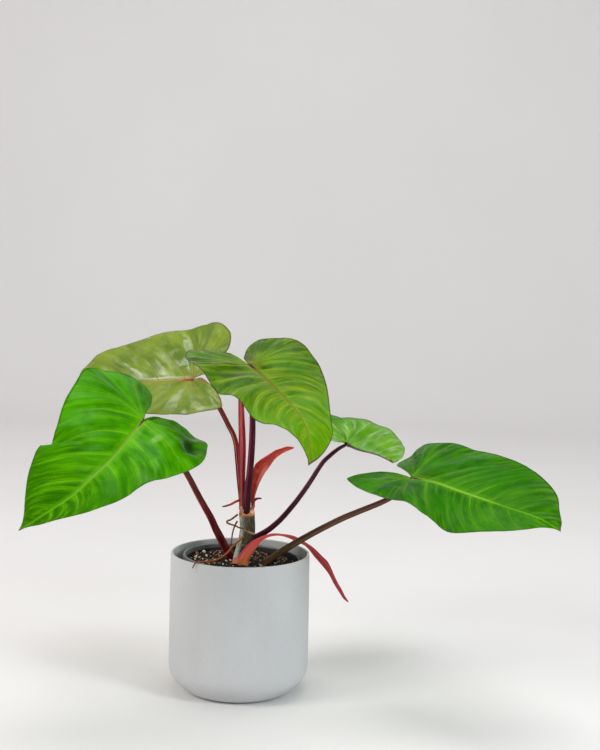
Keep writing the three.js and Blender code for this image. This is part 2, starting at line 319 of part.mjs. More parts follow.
// what grows out of the soil leaves its own socket in it
let soilMan = solid(soilPlain);
for (const [name, rings, sides] of [['main_stem', 11, 12], ['petiole_front_left', 16, 8], ['petiole_right', 15, 8]])
  soilMan = soilMan.subtract(solid(tube(TUBES[name].p, TUBES[name].r, rings, sides, GAP + 0.05, GAP)));
soilMan = soilMan.subtract(solid(bract(RIBBONS.cataphyll_lower, 25, SHEATH_THICKNESS, 0.3, GAP)));
const soil = shape(soilMan);

// ---------------------------------------------------------------- the group
const plant = new THREE.Group();
function add(name, geometry, color, roughness, metalness = 0) {
  const m = new THREE.Mesh(geometry, new THREE.MeshStandardMaterial({ color, roughness, metalness }));
  m.name = name;
  plant.add(m);
}
add('outer_pot', outerPot, 0xc3c4c4, 0.6);
add('nursery_pot', nurseryPot, 0x191919, 0.45);
add('potting_soil', soil, 0x2a1d14, 0.95);

const stalks = {
  main_stem: [11, 12, 0x77806a], petiole_front_left: [16, 8, 0x5a1f28], petiole_back_left: [15, 8, 0x651c1f],
  petiole_centre: [15, 8, 0x4f1a26], petiole_back_right: [16, 8, 0x43202c], petiole_right: [15, 8, 0x6b4a2c],
  new_leaf_spear: [14, 8, 0x9c2f38], aerial_root_long: [18, 6, 0x8a5426], aerial_root_loop: [16, 6, 0x7d4a2b],
  aerial_root_thin: [9, 6, 0x7d4a2b], root_tip_left: [8, 6, 0xa1302d], root_tip_right: [8, 6, 0xa1302d] };
for (const [name, [rings, sides, color]] of Object.entries(stalks))
  add(name, tube(TUBES[name].p, TUBES[name].r, rings, sides), color, 0.4);

add('cataphyll_upper', bract(RIBBONS.cataphyll_upper, 14, SHEATH_THICKNESS, -0.5), 0xb8402a, 0.4);
add('cataphyll_lower', bract(RIBBONS.cataphyll_lower, 25, SHEATH_THICKNESS, 0.3), 0xb14a48, 0.4);

const blades = { leaf_front_left: ['A', 0x3f9a12], leaf_back_left: ['B', 0x86983c], leaf_centre: ['C', 0x58992a], leaf_back_right: ['D', 0x5ba32b], leaf_right: ['E', 0x2f8a1c] };
for (const [name, [key, color]] of Object.entries(blades)) add(name, blade(LEAVES[key], 26, 5), color, 0.35);

export default plant;
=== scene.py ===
import math
import bpy
import numpy as np
from mathutils import Matrix, Vector


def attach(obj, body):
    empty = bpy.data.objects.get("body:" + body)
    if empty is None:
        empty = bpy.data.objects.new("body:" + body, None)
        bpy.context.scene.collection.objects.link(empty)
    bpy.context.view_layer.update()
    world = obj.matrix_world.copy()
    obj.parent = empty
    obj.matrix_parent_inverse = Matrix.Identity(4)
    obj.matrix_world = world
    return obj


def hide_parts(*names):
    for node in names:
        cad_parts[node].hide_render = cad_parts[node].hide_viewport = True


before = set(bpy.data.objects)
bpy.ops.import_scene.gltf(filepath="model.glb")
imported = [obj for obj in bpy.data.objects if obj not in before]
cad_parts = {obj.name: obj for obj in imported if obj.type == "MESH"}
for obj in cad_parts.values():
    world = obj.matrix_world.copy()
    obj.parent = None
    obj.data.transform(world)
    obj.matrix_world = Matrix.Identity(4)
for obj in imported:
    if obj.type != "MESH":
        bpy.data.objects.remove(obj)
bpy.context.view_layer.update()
MM = 0.001

# ------------------------------------------------------------------ camera
RIGHT = np.array([0.999722, 0.002401, 0.023437])
UPV = np.array([-0.023560, 0.101896, 0.994516])
FWD = np.array([0.0, 0.99479, -0.10192])
CAM_AT = np.array([67.5, -1781.4, 570.5])          # mm
cam_data = bpy.data.cameras.new("view_camera")
cam_data.sensor_width = 36.0
cam_data.lens = 71.52
cam_data.clip_start, cam_data.clip_end = 0.05, 60.0
cam = bpy.data.objects.new("view_camera", cam_data)
bpy.context.scene.collection.objects.link(cam)
cam.matrix_world = Matrix((
    (RIGHT[0], UPV[0], -FWD[0], CAM_AT[0] * MM),
    (RIGHT[1], UPV[1], -FWD[1], CAM_AT[1] * MM),
    (RIGHT[2], UPV[2], -FWD[2], CAM_AT[2] * MM),
    (0, 0, 0, 1)))
bpy.context.scene.camera = cam

# ------------------------------------------------------------------ tables (mm)
# centre lines and radii of the round pieces
TUBES = {
    "petiole_front_left": dict(p=[[-8.6, 15.5, 154.1], [-16.8, 11.6, 169.0], [-23.8, 5.6, 183.8], [-30.6, -1.0, 198.4], [-36.5, -8.0, 213.3], [-43.1, -16.0, 227.2], [-49.6, -24.4, 241.1], [-55.7, -32.8, 255.1], [-61.9, -41.3, 269.0], [-68.5, -50.3, 282.4], [-75.3, -59.6, 295.4], [-82.4, -69.1, 308.2], [-89.6, -78.8, 320.8], [-98.4, -88.6, 332.1], [-110.5, -98.3, 340.1]],
        r=[5.6, 5.2, 4.6, 4.2, 3.9, 3.7, 3.5, 3.4, 3.2, 2.9, 2.2]),
    "petiole_back_left": dict(p=[[0.6, 9.4, 222.1], [-0.7, 10.6, 235.1], [-2.3, 12.5, 248.0], [-3.8, 14.9, 260.9], [-5.2, 17.5, 273.7], [-6.9, 20.9, 286.3], [-8.8, 25.1, 298.6], [-12.9, 30.3, 309.8], [-19.0, 36.6, 319.6], [-24.8, 43.2, 329.4], [-30.9, 49.7, 339.0], [-37.8, 55.8, 348.4], [-45.4, 61.6, 357.5], [-54.3, 66.3, 365.9], [-65.7, 71.4, 369.1]],
        r=[3.2, 3.3, 3.4, 3.4, 3.3, 3.2, 3.1, 3.1, 3.0, 2.8, 2.2]),
    "petiole_centre": dict(p=[[7.1, -6.4, 220.9], [7.3, -7.0, 236.1], [8.1, -8.3, 251.3], [9.6, -9.9, 266.3], [10.7, -12.7, 281.3], [11.6, -16.1, 296.1], [12.3, -20.0, 310.8], [12.6, -24.8, 325.3], [12.5, -30.3, 339.4], [12.4, -36.6, 353.3], [12.0, -43.6, 366.8], [11.3, -51.3, 380.0], [10.3, -60.8, 391.8], [9.0, -71.6, 402.4]],
        r=[4.9, 4.6, 4.0, 4.0, 3.8, 3.6, 3.5, 3.3, 2.2]),
    "petiole_back_right": dict(p=[[18.9, 2.2, 188.7], [32.2, 7.2, 195.7], [42.0, 12.6, 202.9], [50.9, 18.6, 210.8], [58.9, 24.7, 219.5], [66.6, 31.1, 228.2], [73.7, 38.0, 237.1], [80.5, 45.1, 246.1], [86.9, 52.5, 255.1], [93.1, 60.1, 264.2], [99.5, 68.4, 272.3], [106.6, 78.2, 277.7], [113.5, 88.7, 282.0], [120.3, 99.7, 285.2], [126.8, 111.1, 287.6]],
        r=[3.6, 3.5, 3.4, 3.3, 3.2, 3.1, 3.0, 2.9, 2.8, 2.6, 2.0]),
    "petiole_right": dict(p=[[19.7, -6.0, 146.9], [30.8, -9.1, 158.7], [43.0, -12.2, 169.1], [55.9, -15.4, 178.7], [69.2, -18.3, 187.9], [82.6, -21.6, 196.8], [96.1, -25.1, 205.4], [109.9, -28.5, 213.7], [123.7, -32.3, 221.6], [137.8, -36.5, 228.9], [151.9, -41.1, 236.0], [165.5, -46.6, 243.2], [178.2, -52.9, 251.4], [189.6, -58.1, 262.0], [200.6, -61.7, 273.7]],
        r=[4.4, 4.3, 4.1, 3.9, 3.7, 3.6, 3.5, 3.3, 2.9, 2.2]),
    "main_stem": dict(p=[[-3.1, 0.0, 130.0], [-2.5, 0.0, 139.1], [-1.6, 0.0, 148.1], [-0.4, 0.0, 157.0], [1.5, 0.0, 165.9], [3.7, 0.0, 174.7], [5.8, 0.0, 183.5], [7.7, 0.0, 192.3], [8.3, 0.0, 201.3], [7.6, 0.0, 210.4], [6.9, 0.0, 219.4]],
        r=[9.6, 9.6, 9.5, 9.4, 9.2, 9.1, 9.2, 9.4, 9.2, 9.3, 9.5]),
    "new_leaf_spear": dict(p=[[0.5, 1.5, 222.0], [0.6, 1.8, 237.4], [0.3, 2.0, 252.7], [-0.1, 2.3, 268.1], [-0.2, 2.7, 283.4], [-0.4, 3.1, 298.8], [-0.9, 3.3, 314.1], [-1.7, 3.5, 329.4], [-2.5, 3.6, 344.8], [-3.1, 3.8, 360.1], [-2.8, 4.0, 375.4], [-1.7, 4.2, 390.8]],
        r=[3.3, 3.5, 3.8, 4.2, 4.4, 4.2, 3.9, 3.6, 3.0, 2.2, 1.0]),
    "aerial_root_long": dict(p=[[4.5, -11.6, 192.2], [0.3, -13.8, 188.1], [-4.3, -15.8, 184.3], [-8.7, -18.3, 180.7], [-11.9, -22.3, 177.0], [-15.2, -26.7, 174.0], [-18.7, -31.3, 171.7], [-22.0, -36.5, 170.4], [-25.1, -41.9, 169.9], [-28.2, -47.3, 169.7], [-31.6, -52.5, 170.0], [-35.3, -57.6, 170.6], [-39.5, -62.2, 171.4], [-44.0, -66.6, 172.0], [-49.3, -69.7, 171.2], [-52.8, -71.0, 165.7]],
        r=[1.3, 1.3, 1.2, 1.2, 1.1, 1.1, 1.0, 1.0, 0.9, 0.7]),
    "aerial_root_loop": dict(p=[[-3.9, -3.0, 216.7], [-6.2, -3.9, 214.9], [-8.5, -4.7, 213.2], [-10.9, -5.6, 211.5], [-13.4, -6.5, 210.2], [-16.2, -7.4, 209.3], [-16.4, -8.7, 207.5], [-13.7, -9.6, 206.3], [-10.9, -10.5, 205.6], [-8.1, -11.3, 205.0], [-5.2, -12.0, 204.3], [-2.6, -12.2, 202.8], [0.3, -12.1, 202.1], [3.3, -12.0, 201.8]],
        r=[1.3, 1.2, 1.1, 1.1, 1.1, 1.0, 0.9]),
    "aerial_root_thin": dict(p=[[-4.1, -4.0, 208.9], [-6.0, -5.3, 205.6], [-7.5, -6.6, 202.1], [-8.7, -7.9, 198.4], [-9.5, -9.1, 194.7], [-10.0, -10.1, 190.9], [-10.3, -11.1, 187.0], [-10.6, -12.1, 183.1], [-10.9, -13.0, 179.2]],
        r=[1.1, 1.0, 0.9, 0.8, 0.7]),
    "root_tip_left": dict(p=[[-1.2, -5.0, 234.9], [-4.2, -5.9, 234.0], [-7.0, -6.7, 232.8], [-9.7, -7.3, 231.3], [-12.5, -7.9, 229.8], [-15.5, -8.3, 228.7], [-18.6, -8.7, 227.8], [-21.7, -9.0, 227.0]],
        r=[1.4, 1.5, 1.3, 0.8]),
    "root_tip_right": dict(p=[[14.0, -9.5, 232.7], [15.0, -10.0, 234.2], [16.0, -10.5, 235.6], [17.2, -10.8, 237.0], [18.7, -11.0, 238.0], [20.5, -11.3, 238.4], [22.3, -11.7, 238.7], [24.1, -12.0, 238.9]],
        r=[1.5, 1.6, 1.4, 0.8])}

# the two long edges of each bract
RIBBONS = {
    "cataphyll_upper": ([[12.0, 4.5, 223.6], [11.7, 5.2, 231.2], [11.4, 6.0, 238.8], [11.1, 7.0, 246.3], [11.0, 8.0, 253.9], [11.7, 8.8, 261.5], [13.1, 9.5, 268.9], [15.6, 10.2, 276.1], [20.9, 11.0, 281.4], [27.1, 11.8, 285.7], [33.5, 12.5, 289.8], [39.9, 13.2, 293.9], [47.1, 14.0, 296.5], [54.4, 14.5, 298.7], [61.8, 15.0, 298.1]],
        [[16.4, 2.5, 224.7], [16.3, 2.2, 231.4], [16.4, 2.0, 238.1], [18.0, 2.0, 244.5], [20.0, 2.0, 250.8], [22.4, 2.8, 256.9], [25.3, 3.5, 262.7], [28.6, 4.2, 268.3], [32.3, 5.0, 273.6], [35.9, 6.2, 279.0], [39.7, 7.5, 284.2], [44.7, 8.8, 288.3], [50.1, 10.0, 291.7], [56.1, 11.5, 294.3], [62.1, 13.0, 296.7]]),
    "cataphyll_lower": ([[-11.5, -16.0, 154.8], [-8.3, -15.4, 162.0], [-2.7, -14.4, 167.7], [2.2, -12.6, 173.9], [7.3, -10.4, 180.0], [13.4, -8.0, 185.1], [21.1, -5.0, 188.4], [28.5, -2.1, 190.5], [36.1, 0.6, 192.0], [44.0, 3.1, 191.9], [51.9, 5.5, 191.6], [59.8, 7.6, 190.6], [67.4, 9.6, 187.9], [74.4, 11.4, 183.7], [81.5, 12.8, 179.6], [88.2, 14.0, 174.8], [94.3, 15.5, 169.1], [100.0, 17.0, 163.1], [106.0, 18.5, 157.3], [110.3, 19.8, 150.1], [113.7, 21.0, 142.4], [117.3, 22.2, 134.7], [121.2, 23.1, 127.3], [125.4, 23.4, 120.2], [129.2, 23.7, 112.8], [133.8, 24.0, 106.0]],
        [[9.7, -20.0, 155.5], [10.8, -19.4, 162.6], [13.6, -18.8, 169.2], [17.3, -18.2, 175.3], [21.2, -17.2, 181.2], [25.6, -16.0, 186.7], [31.4, -14.2, 190.6], [38.1, -12.3, 192.8], [45.2, -10.2, 193.3], [52.3, -7.9, 192.0], [59.2, -5.5, 189.4], [65.8, -2.8, 185.8], [72.5, 0.0, 182.5], [78.9, 3.0, 178.4], [84.1, 5.6, 172.7], [88.7, 8.0, 166.3], [93.6, 10.1, 160.3], [98.6, 12.2, 154.4], [103.5, 14.3, 148.3], [108.1, 15.8, 142.1], [112.0, 17.0, 135.4], [115.4, 18.2, 128.5], [119.4, 19.3, 121.9], [123.6, 20.2, 115.5], [127.9, 21.1, 109.1], [133.4, 22.0, 104.6]])}

# pose, size, arch and margin shape of each blade
LEAVES = {
    "A": dict(par={"jx": -109.9981, "jy": -100.0858, "jz": 338.0243, "az": -109.107, "el": -15.2993, "roll": 40.5387, "L": 205.407, "k1": 0.8246, "k2": 0.2734, "kl": -0.7147, "ks": -0.0846, "tw": 0.2534, "wL": 0.9696, "wR": 1.0402, "lL": 0.9458, "lR": 1.0022, "aL": 0.3163, "aR": 0.1856, "bL": 0.4066, "bR": 0.7028, "gL": -0.4684, "gR": -0.2368},
        warp=dict(M=[[1.4, 4.5], [1.8, 0.1], [3.2, -4.5], [3.6, -6.2], [3.7, -7.0], [2.0, -3.2], [-0.0, 0.9]],
            WL=[[-0.0, 0.9], [2.9, 1.9], [7.7, 1.2], [11.7, 2.8], [15.0, 3.8], [16.1, 6.2], [7.6, 10.5], [-0.6, 1.6], [6.6, 1.2], [1.5, 3.6], [-1.5, 6.6], [-6.7, 1.2], [-4.6, -0.1], [-0.7, -1.1], [0.5, -0.1], [1.5, 4.7], [1.4, 4.5]],
            WR=[[-0.0, 0.9], [0.0, 2.0], [-1.2, 3.1], [-3.1, 5.0], [-4.5, 6.6], [-1.8, 4.7], [6.2, -0.6], [1.7, -1.9], [-1.2, -0.4], [-5.1, 3.9], [-2.7, -2.3], [2.4, -2.1], [2.5, -1.7], [2.4, -2.1], [0.5, 0.3], [-1.3, 2.2], [1.4, 4.5]])),
    "B": dict(par={"jx": -73.4818, "jy": 69.3967, "jz": 372.6459, "az": 163.3678, "el": -2.9532, "roll": 43.998, "L": 192.576, "k1": 0.3753, "k2": 0.2865, "kl": 0.2356, "ks": -0.0279, "tw": -0.0025, "wL": 0.9734, "wR": 1.0746, "lL": 0.9397, "lR": 0.9029, "aL": 0.3114, "aR": 0.3453, "bL": 0.3837, "bR": 1.0754, "gL": -0.4189, "gR": 0.4044},
        warp=dict(M=[[7.0, -1.3], [6.2, -1.6], [5.6, -1.3], [5.3, -1.0], [5.2, -0.7], [5.4, -0.5], [5.7, -0.3]],
            WL=[[5.7, -0.3], [4.0, -1.4], [2.6, -2.1], [1.7, -1.5], [1.1, -0.6], [0.6, 0.2], [0.2, 0.8], [0.2, 1.1], [0.4, 1.1], [2.2, 1.3], [3.7, 1.2], [8.0, -1.4], [-1.0, -7.3], [-5.8, -4.4], [-0.9, -1.2], [5.7, 3.5], [7.0, -1.3]],
            WR=[[5.7, -0.3], [3.9, 4.3], [1.5, 8.4], [-3.0, 11.6], [-6.6, 8.0], [-9.5, 2.5], [1.8, -1.7], [9.9, -1.6], [8.1, -4.8], [4.8, 2.4], [3.1, 5.7], [2.1, 4.1], [-2.6, 4.7], [-8.4, 1.7], [-7.8, -3.4], [-0.6, -1.0], [7.0, -1.3]])),
    "C": dict(par={"jx": 10.0592, "jy": -72.4422, "jz": 405.5491, "az": -60.6427, "el": -14.8252, "roll": -2.6477, "L": 189.1915, "k1": 0.1849, "k2": 0.5559, "kl": -0.3646, "ks": -0.0138, "tw": 0.0412, "wL": 0.9554, "wR": 0.9924, "lL": 0.9298, "lR": 1.0077, "aL": 0.2997, "aR": 0.1648, "bL": 0.4214, "bR": 0.5684, "gL": 0.1532, "gR": -0.0526},
        warp=dict(M=[[-0.8, 0.1], [1.4, -1.8], [3.3, -3.2], [5.2, -3.3], [6.6, -1.8], [1.6, -0.1], [-8.9, 1.9]],
            WL=[[-8.9, 1.9], [-5.2, -1.3], [-0.6, -5.1], [3.9, -8.8], [6.0, -11.6], [0.0, -9.6], [-2.4, -4.3], [-4.5, 0.3], [-4.9, 2.8], [-0.9, 4.7], [0.5, 2.9], [2.0, 0.3], [2.8, 0.1], [2.4, -2.9], [0.3, -1.9], [-4.4, 1.3], [-0.8, 0.1]],
            WR=[[-8.9, 1.9], [-6.3, 2.8], [-5.3, 5.9], [-3.1, 9.3], [-2.4, 5.8], [-3.7, -5.5], [-2.0, 3.5], [0.5, -7.0], [0.4, 6.2], [-0.8, 4.1], [-0.9, 1.9], [-0.1, 0.9], [2.1, -2.3], [3.5, -1.1], [2.8, 0.7], [0.9, -0.7], [-0.8, 0.1]])),
    "E": dict(par={"jx": 208.5407, "jy": -62.6176, "jz": 276.8123, "az": -39.812, "el": -5.9043, "roll": -16.7116, "L": 200.6501, "k1": 0.1157, "k2": 0.0551, "kl": -0.5497, "ks": 0.0124, "tw": 0.4949, "wL": 1.0863, "wR": 1.0027, "lL": 0.8816, "lR": 1.0328, "aL": 0.1836, "aR": 0.2167, "bL": 0.6116, "bR": 0.3204, "gL": 0.1405, "gR": -0.3149},
        warp=dict(M=[[-8.3, 0.2], [-7.0, 2.3], [-5.9, 0.9], [-4.6, 0.3], [-3.5, 0.8], [-3.3, 1.9], [-9.3, 0.1]],
            WL=[[-9.3, 0.1], [-4.5, -0.7], [1.5, -0.7], [5.9, -1.7], [13.1, -3.1], [10.9, -3.0], [5.4, -3.7], [-0.1, -4.0], [-4.3, -2.3], [-4.5, 3.5], [-8.9, 4.2], [3.7, 3.9], [11.7, 0.8], [2.8, -1.6], [-1.5, 0.6], [-3.5, 3.0], [-8.3, 0.2]],
            WR=[[-9.3, 0.1], [-6.2, 0.8], [-3.4, 1.7], [-0.1, 2.8], [0.8, -0.2], [-1.7, -2.7], [-5.7, -7.9], [2.7, 2.0], [12.1, 3.3], [16.1, -5.6], [5.0, -3.9], [-1.3, -1.7], [-3.9, -3.3], [-3.8, -0.7], [-4.5, 2.1], [-6.8, 2.1], [-8.3, 0.2]])),
    "D": dict(par={"jx": 114.0635, "jy": 110.8827, "jz": 290.0959, "az": 54.7627, "el": -13.3192, "roll": -23.6462, "L": 180.8961, "k1": 0.1216, "k2": 0.0135, "kl": -0.0286, "ks": 0.0339, "tw": 0.1984, "wL": 1.0, "wR": 0.9713, "lL": 1.0, "lR": 1.0671, "aL": 0.36, "aR": 1.008, "bL": 0.75, "bR": 0.8936, "gL": 0.0, "gR": 0.2657},
        warp=dict(M=[[14.1, -0.1], [8.9, -2.3], [4.9, -1.9], [1.9, -0.1], [-1.0, 1.2], [-3.9, 1.5], [-6.6, 1.8]],
            WL=[[-6.6, 1.8], [-6.1, 1.8], [-5.4, 1.7], [-4.3, 1.6], [-2.5, 1.4], [-0.2, 0.9], [2.5, -0.5], [5.7, -2.1], [10.0, -2.0], [14.1, -0.1], [14.1, -0.1], [14.1, -0.1], [14.1, -0.1], [14.1, -0.1], [14.1, -0.1], [14.1, -0.1], [14.1, -0.1]],
            WR=[[-6.6, 1.8], [-3.1, 0.9], [-0.1, -0.2], [2.5, -0.6], [2.1, -2.3], [1.1, -2.0], [-1.1, -2.3], [-2.3, -0.9], [-1.7, 1.5], [-2.6, 1.0], [-2.8, 0.9], [-1.8, -0.2], [-0.9, 1.7], [0.3, 0.0], [-1.0, -0.3], [-2.0, 0.2], [14.1, -0.1]]))}

OUTLINE = np.array([(1.0, 0.0), (0.965, 0.012), (0.92, 0.034), (0.84, 0.092), (0.72, 0.175), (0.57, 0.262),
                    (0.40, 0.335), (0.22, 0.385), (0.04, 0.402), (-0.12, 0.378), (-0.245, 0.312), (-0.315, 0.215),
                    (-0.30, 0.118), (-0.205, 0.056), (-0.085, 0.022), (0.0, 0.0)])


# ------------------------------------------------------------------ number helpers
def crom(pts, u):
    """Catmull-Rom through pts at u in 0..1, uniform in index."""
    pts = np.asarray(pts, float)
    n = len(pts)
    u = np.clip(np.asarray(u, float), 0, 1) * (n - 1)
    i = np.minimum(u.astype(int), n - 2)
    f = (u - i)[..., None] if pts.ndim > 1 else (u - i)
    p1, p2 = pts[i], pts[i + 1]
    lo = (i > 0)[..., None] if pts.ndim > 1 else (i > 0)
    hi = (i < n - 2)[..., None] if pts.ndim > 1 else (i < n - 2)
    p0 = np.where(lo, pts[np.maximum(i - 1, 0)], 2 * p1 - p2)
    p3 = np.where(hi, pts[np.minimum(i + 2, n - 1)], 2 * p2 - p1)
    return 0.5 * ((2 * p1) + (-p0 + p2) * f + (2 * p0 - 5 * p1 + 4 * p2 - p3) * f * f
                  + (-p0 + 3 * p1 - 3 * p2 + p3) * f ** 3)


def lerp_list(values, u):
    values = np.asarray(values, float)
    return np.interp(np.clip(u, 0, 1) * (len(values) - 1), np.arange(len(values)), values)


def smooth(a, b, x):
    t = np.clip((np.asarray(x, float) - a) / (b - a), 0, 1)
    return t * t * (3 - 2 * t)


def unit(v):
    return v / np.maximum(np.linalg.norm(v, axis=-1, keepdims=True), 1e-12)


def _hash(ix, iy, iz, seed):
    h = (ix.astype(np.int64) * 374761393 + iy.astype(np.int64) * 668265263
         + iz.astype(np.int64) * 2147483647 + seed * 974634777) & 0xFFFFFFFF
    h = ((h ^ (h >> 13)) * 1274126177) & 0xFFFFFFFF
    h = ((h ^ (h >> 16)) * 2246822519) & 0xFFFFFFFF
    return ((h ^ (h >> 15)) & 0xFFFFFF) / float(0xFFFFFF)


def vnoise(P, seed=0):
    """Smooth value noise in -1..1 at points P (n, 3)."""
    P = np.asarray(P, float)
    i = np.floor(P).astype(np.int64)
    f = P - i
    f = f * f * f * (f * (f * 6 - 15) + 10)
    out = 0
    for dx in (0, 1):
        wx = f[..., 0] if dx else 1 - f[..., 0]
        for dy in (0, 1):
            wy = f[..., 1] if dy else 1 - f[..., 1]
            for dz in (0, 1):
                wz = f[..., 2] if dz else 1 - f[..., 2]
                out = out + wx * wy * wz * _hash(i[..., 0] + dx, i[..., 1] + dy, i[..., 2] + dz, seed)
    return out * 2 - 1


def fbm(P, seed=0, octaves=4, gain=0.5):
    total, amp, s = 0, 1.0, 0.0
    P = np.asarray(P, float)
    for k in range(octaves):
        total = total + amp * vnoise(P * (2.03 ** k) + 17.3 * k, seed + k)
        s += amp
        amp *= gain
    return total / s


def lin(r, g, b, k=1.0):
    """Display colour 0..255 to a linear RGBA, scaled by k."""
    def one(v):
        v = v / 255.0
        v = v / 12.92 if v <= 0.04045 else ((v + 0.055) / 1.055) ** 2.4
        return min(max(v * k, 0.0), 1.0)
    return (one(r), one(g), one(b), 1.0)


# ------------------------------------------------------------------ mesh helper
def make_piece(name, verts_mm, faces, mats, face_mats=None, corner=None, point=None, smooth_shade=True,
               body="root", slot=None, replaces=()):
    me = bpy.data.meshes.new(name)
    me.from_pydata((np.asarray(verts_mm, float) * MM).tolist(), [], [tuple(int(i) for i in f) for f in faces])
    for m in mats:
        me.materials.append(m)
    if face_mats is not None:
        me.polygons.foreach_set("material_index", np.asarray(face_mats, np.int32))
    me.polygons.foreach_set("use_smooth", np.full(len(me.polygons), bool(smooth_shade)))
    for key, values in (corner or {}).items():
        a = me.attributes.new(key, "FLOAT", "CORNER")
        a.data.foreach_set("value", np.asarray(values, np.float32))
    for key, values in (point or {}).items():
        a = me.attributes.new(key, "FLOAT", "POINT")
        a.data.foreach_set("value", np.asarray(values, np.float32))
    me.update()
    ob = bpy.data.objects.new(name, me)
    bpy.context.scene.collection.objects.link(ob)
    if body:
        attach(ob, body)
        if replaces:
            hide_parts(*replaces)
    return ob


class Parts:
    """Collects closed islands into one mesh."""
    def __init__(self):
        self.v, self.f, self.m, self.n, self.p = [], [], [], 0, []

    def add(self, verts, faces, mat=0, tag=0.0):
        verts = np.asarray(verts, float)
        self.v.append(verts)
        self.f += [tuple(int(i) + self.n for i in f) for f in faces]
        self.m += [mat] * len(faces)
        self.p += [tag] * len(verts)
        self.n += len(verts)

    def piece(self, name, mats, **kw):
        return make_piece(name, np.concatenate(self.v), self.f, mats, self.m, point={"tag": self.p}, **kw)


# ------------------------------------------------------------------ shader helpers
class Tree:
    def __init__(self, name):
        self.mat = bpy.data.materials.new(name)
        self.mat.use_nodes = True
        self.t = self.mat.node_tree
        for n in list(self.t.nodes):
            self.t.nodes.remove(n)
        self.out = self.t.nodes.new("ShaderNodeOutputMaterial")
        self.bsdf = self.t.nodes.new("ShaderNodeBsdfPrincipled")
        self.t.links.new(self.bsdf.outputs[0], self.out.inputs["Surface"])

    def put(self, socket, value):
        if isinstance(value, bpy.types.NodeSocket):
            self.t.links.new(value, socket)
        else:
            socket.default_value = value

    def attr(self, name):
        n = self.t.nodes.new("ShaderNodeAttribute")
        n.attribute_name = name
        return n.outputs["Fac"]

    def obj(self):
        return self.t.nodes.new("ShaderNodeTexCoord").outputs["Object"]

    def math(self, op, a, b=0.0, c=0.0, clamp=False):
        n = self.t.nodes.new("ShaderNodeMath")
        n.operation = op
        n.use_clamp = clamp
        self.put(n.inputs[0], a)
        self.put(n.inputs[1], b)
        self.put(n.inputs[2], c)
        return n.outputs[0]

    def vec(self, x, y, z):
        n = self.t.nodes.new("ShaderNodeCombineXYZ")
        for s, v in zip(n.inputs, (x, y, z)):
            self.put(s, v)
        return n.outputs[0]

    def scaled(self, v, x, y, z):
        n = self.t.nodes.new("ShaderNodeVectorMath")
        n.operation = "MULTIPLY"
        self.put(n.inputs[0], v)
        n.inputs[1].default_value = (x, y, z)
        return n.outputs[0]

    def split(self, v, axis):
        n = self.t.nodes.new("ShaderNodeSeparateXYZ")
        self.t.links.new(v, n.inputs[0])
        return n.outputs[axis]

    def addv(self, a, b):
        n = self.t.nodes.new("ShaderNodeVectorMath")
        n.operation = "ADD"
        self.put(n.inputs[0], a)
        self.put(n.inputs[1], b)
        return n.outputs[0]

    def noise(self, vector, scale, detail=3.0, rough=0.55, distortion=0.0, color=False):
        n = self.t.nodes.new("ShaderNodeTexNoise")
        self.put(n.inputs["Vector"], vector)
        n.inputs["Scale"].default_value = scale
        n.inputs["Detail"].default_value = detail
        n.inputs["Roughness"].default_value = rough
        n.inputs["Distortion"].default_value = distortion
        return n.outputs["Color" if color else "Fac"]

    def voronoi(self, vector, scale, feature="F1", out="Distance", randomness=1.0):
        n = self.t.nodes.new("ShaderNodeTexVoronoi")
        n.feature = feature
        self.put(n.inputs["Vector"], vector)
        n.inputs["Scale"].default_value = scale
        n.inputs["Randomness"].default_value = randomness
        return n.outputs[out]

    def step(self, x, lo, hi, a=0.0, b=1.0):
        """Smooth step of x from lo to hi, giving a to b."""
        n = self.t.nodes.new("ShaderNodeMapRange")
        n.interpolation_type = "SMOOTHSTEP"
        self.put(n.inputs["Value"], x)
        self.put(n.inputs["From Min"], lo)
        self.put(n.inputs["From Max"], hi)
        self.put(n.inputs["To Min"], a)
        self.put(n.inputs["To Max"], b)
        return n.outputs["Result"]

    def mix(self, fac, a, b, mode="MIX"):
        n = self.t.nodes.new("ShaderNodeMix")
        n.data_type = "RGBA"
        n.blend_type = mode
        n.clamp_factor = True
        ins = [s for s in n.inputs if s.enabled]
        self.put(ins[0], fac)
        self.put(ins[1], a)
        self.put(ins[2], b)
        return [s for s in n.outputs if s.enabled][0]

    def ramp(self, fac, stops, interp="LINEAR"):
        n = self.t.nodes.new("ShaderNodeValToRGB")
        n.color_ramp.interpolation = interp
        e = n.color_ramp.elements
        while len(e) < len(stops):
            e.new(0.5)
        for el, (p, c) in zip(e, stops):
            el.position = p
            el.color = c
        self.put(n.inputs["Fac"], fac)
        return n.outputs["Color"]

    def bump(self, height, distance, strength=1.0, normal=None):
        n = self.t.nodes.new("ShaderNodeBump")
        n.inputs["Strength"].default_value = strength
        n.inputs["Distance"].default_value = distance
        self.put(n.inputs["Height"], height)
        if normal is not None:
            self.put(n.inputs["Normal"], normal)
        return n.outputs["Normal"]

    def finish(self, color, rough, normal=None, specular=0.5, **constants):
        self.put(self.bsdf.inputs["Base Color"], color)
        self.put(self.bsdf.inputs["Roughness"], rough)
        self.bsdf.inputs["Specular IOR Level"].default_value = specular
        for k, v in constants.items():
            self.bsdf.inputs[k.replace("_", " ")].default_value = v
        if normal is not None:
            self.t.links.new(normal, self.bsdf.inputs["Normal"])
        return self.mat


# ------------------------------------------------------------------ blades: shape
def blade_axes(d):
    az, el, ro = np.radians([d["az"], d["el"], d["roll"]])
    h = np.array([np.cos(az), np.sin(az), 0.0])
    z = np.array([0, 0, 1.0])
    ea = np.cos(el) * h + np.sin(el) * z
    n0 = np.cos(el) * z - np.sin(el) * h
    b0 = np.cross(n0, ea)
    n = np.cos(ro) * n0 + np.sin(ro) * b0
    return ea, np.cross(n, ea), n


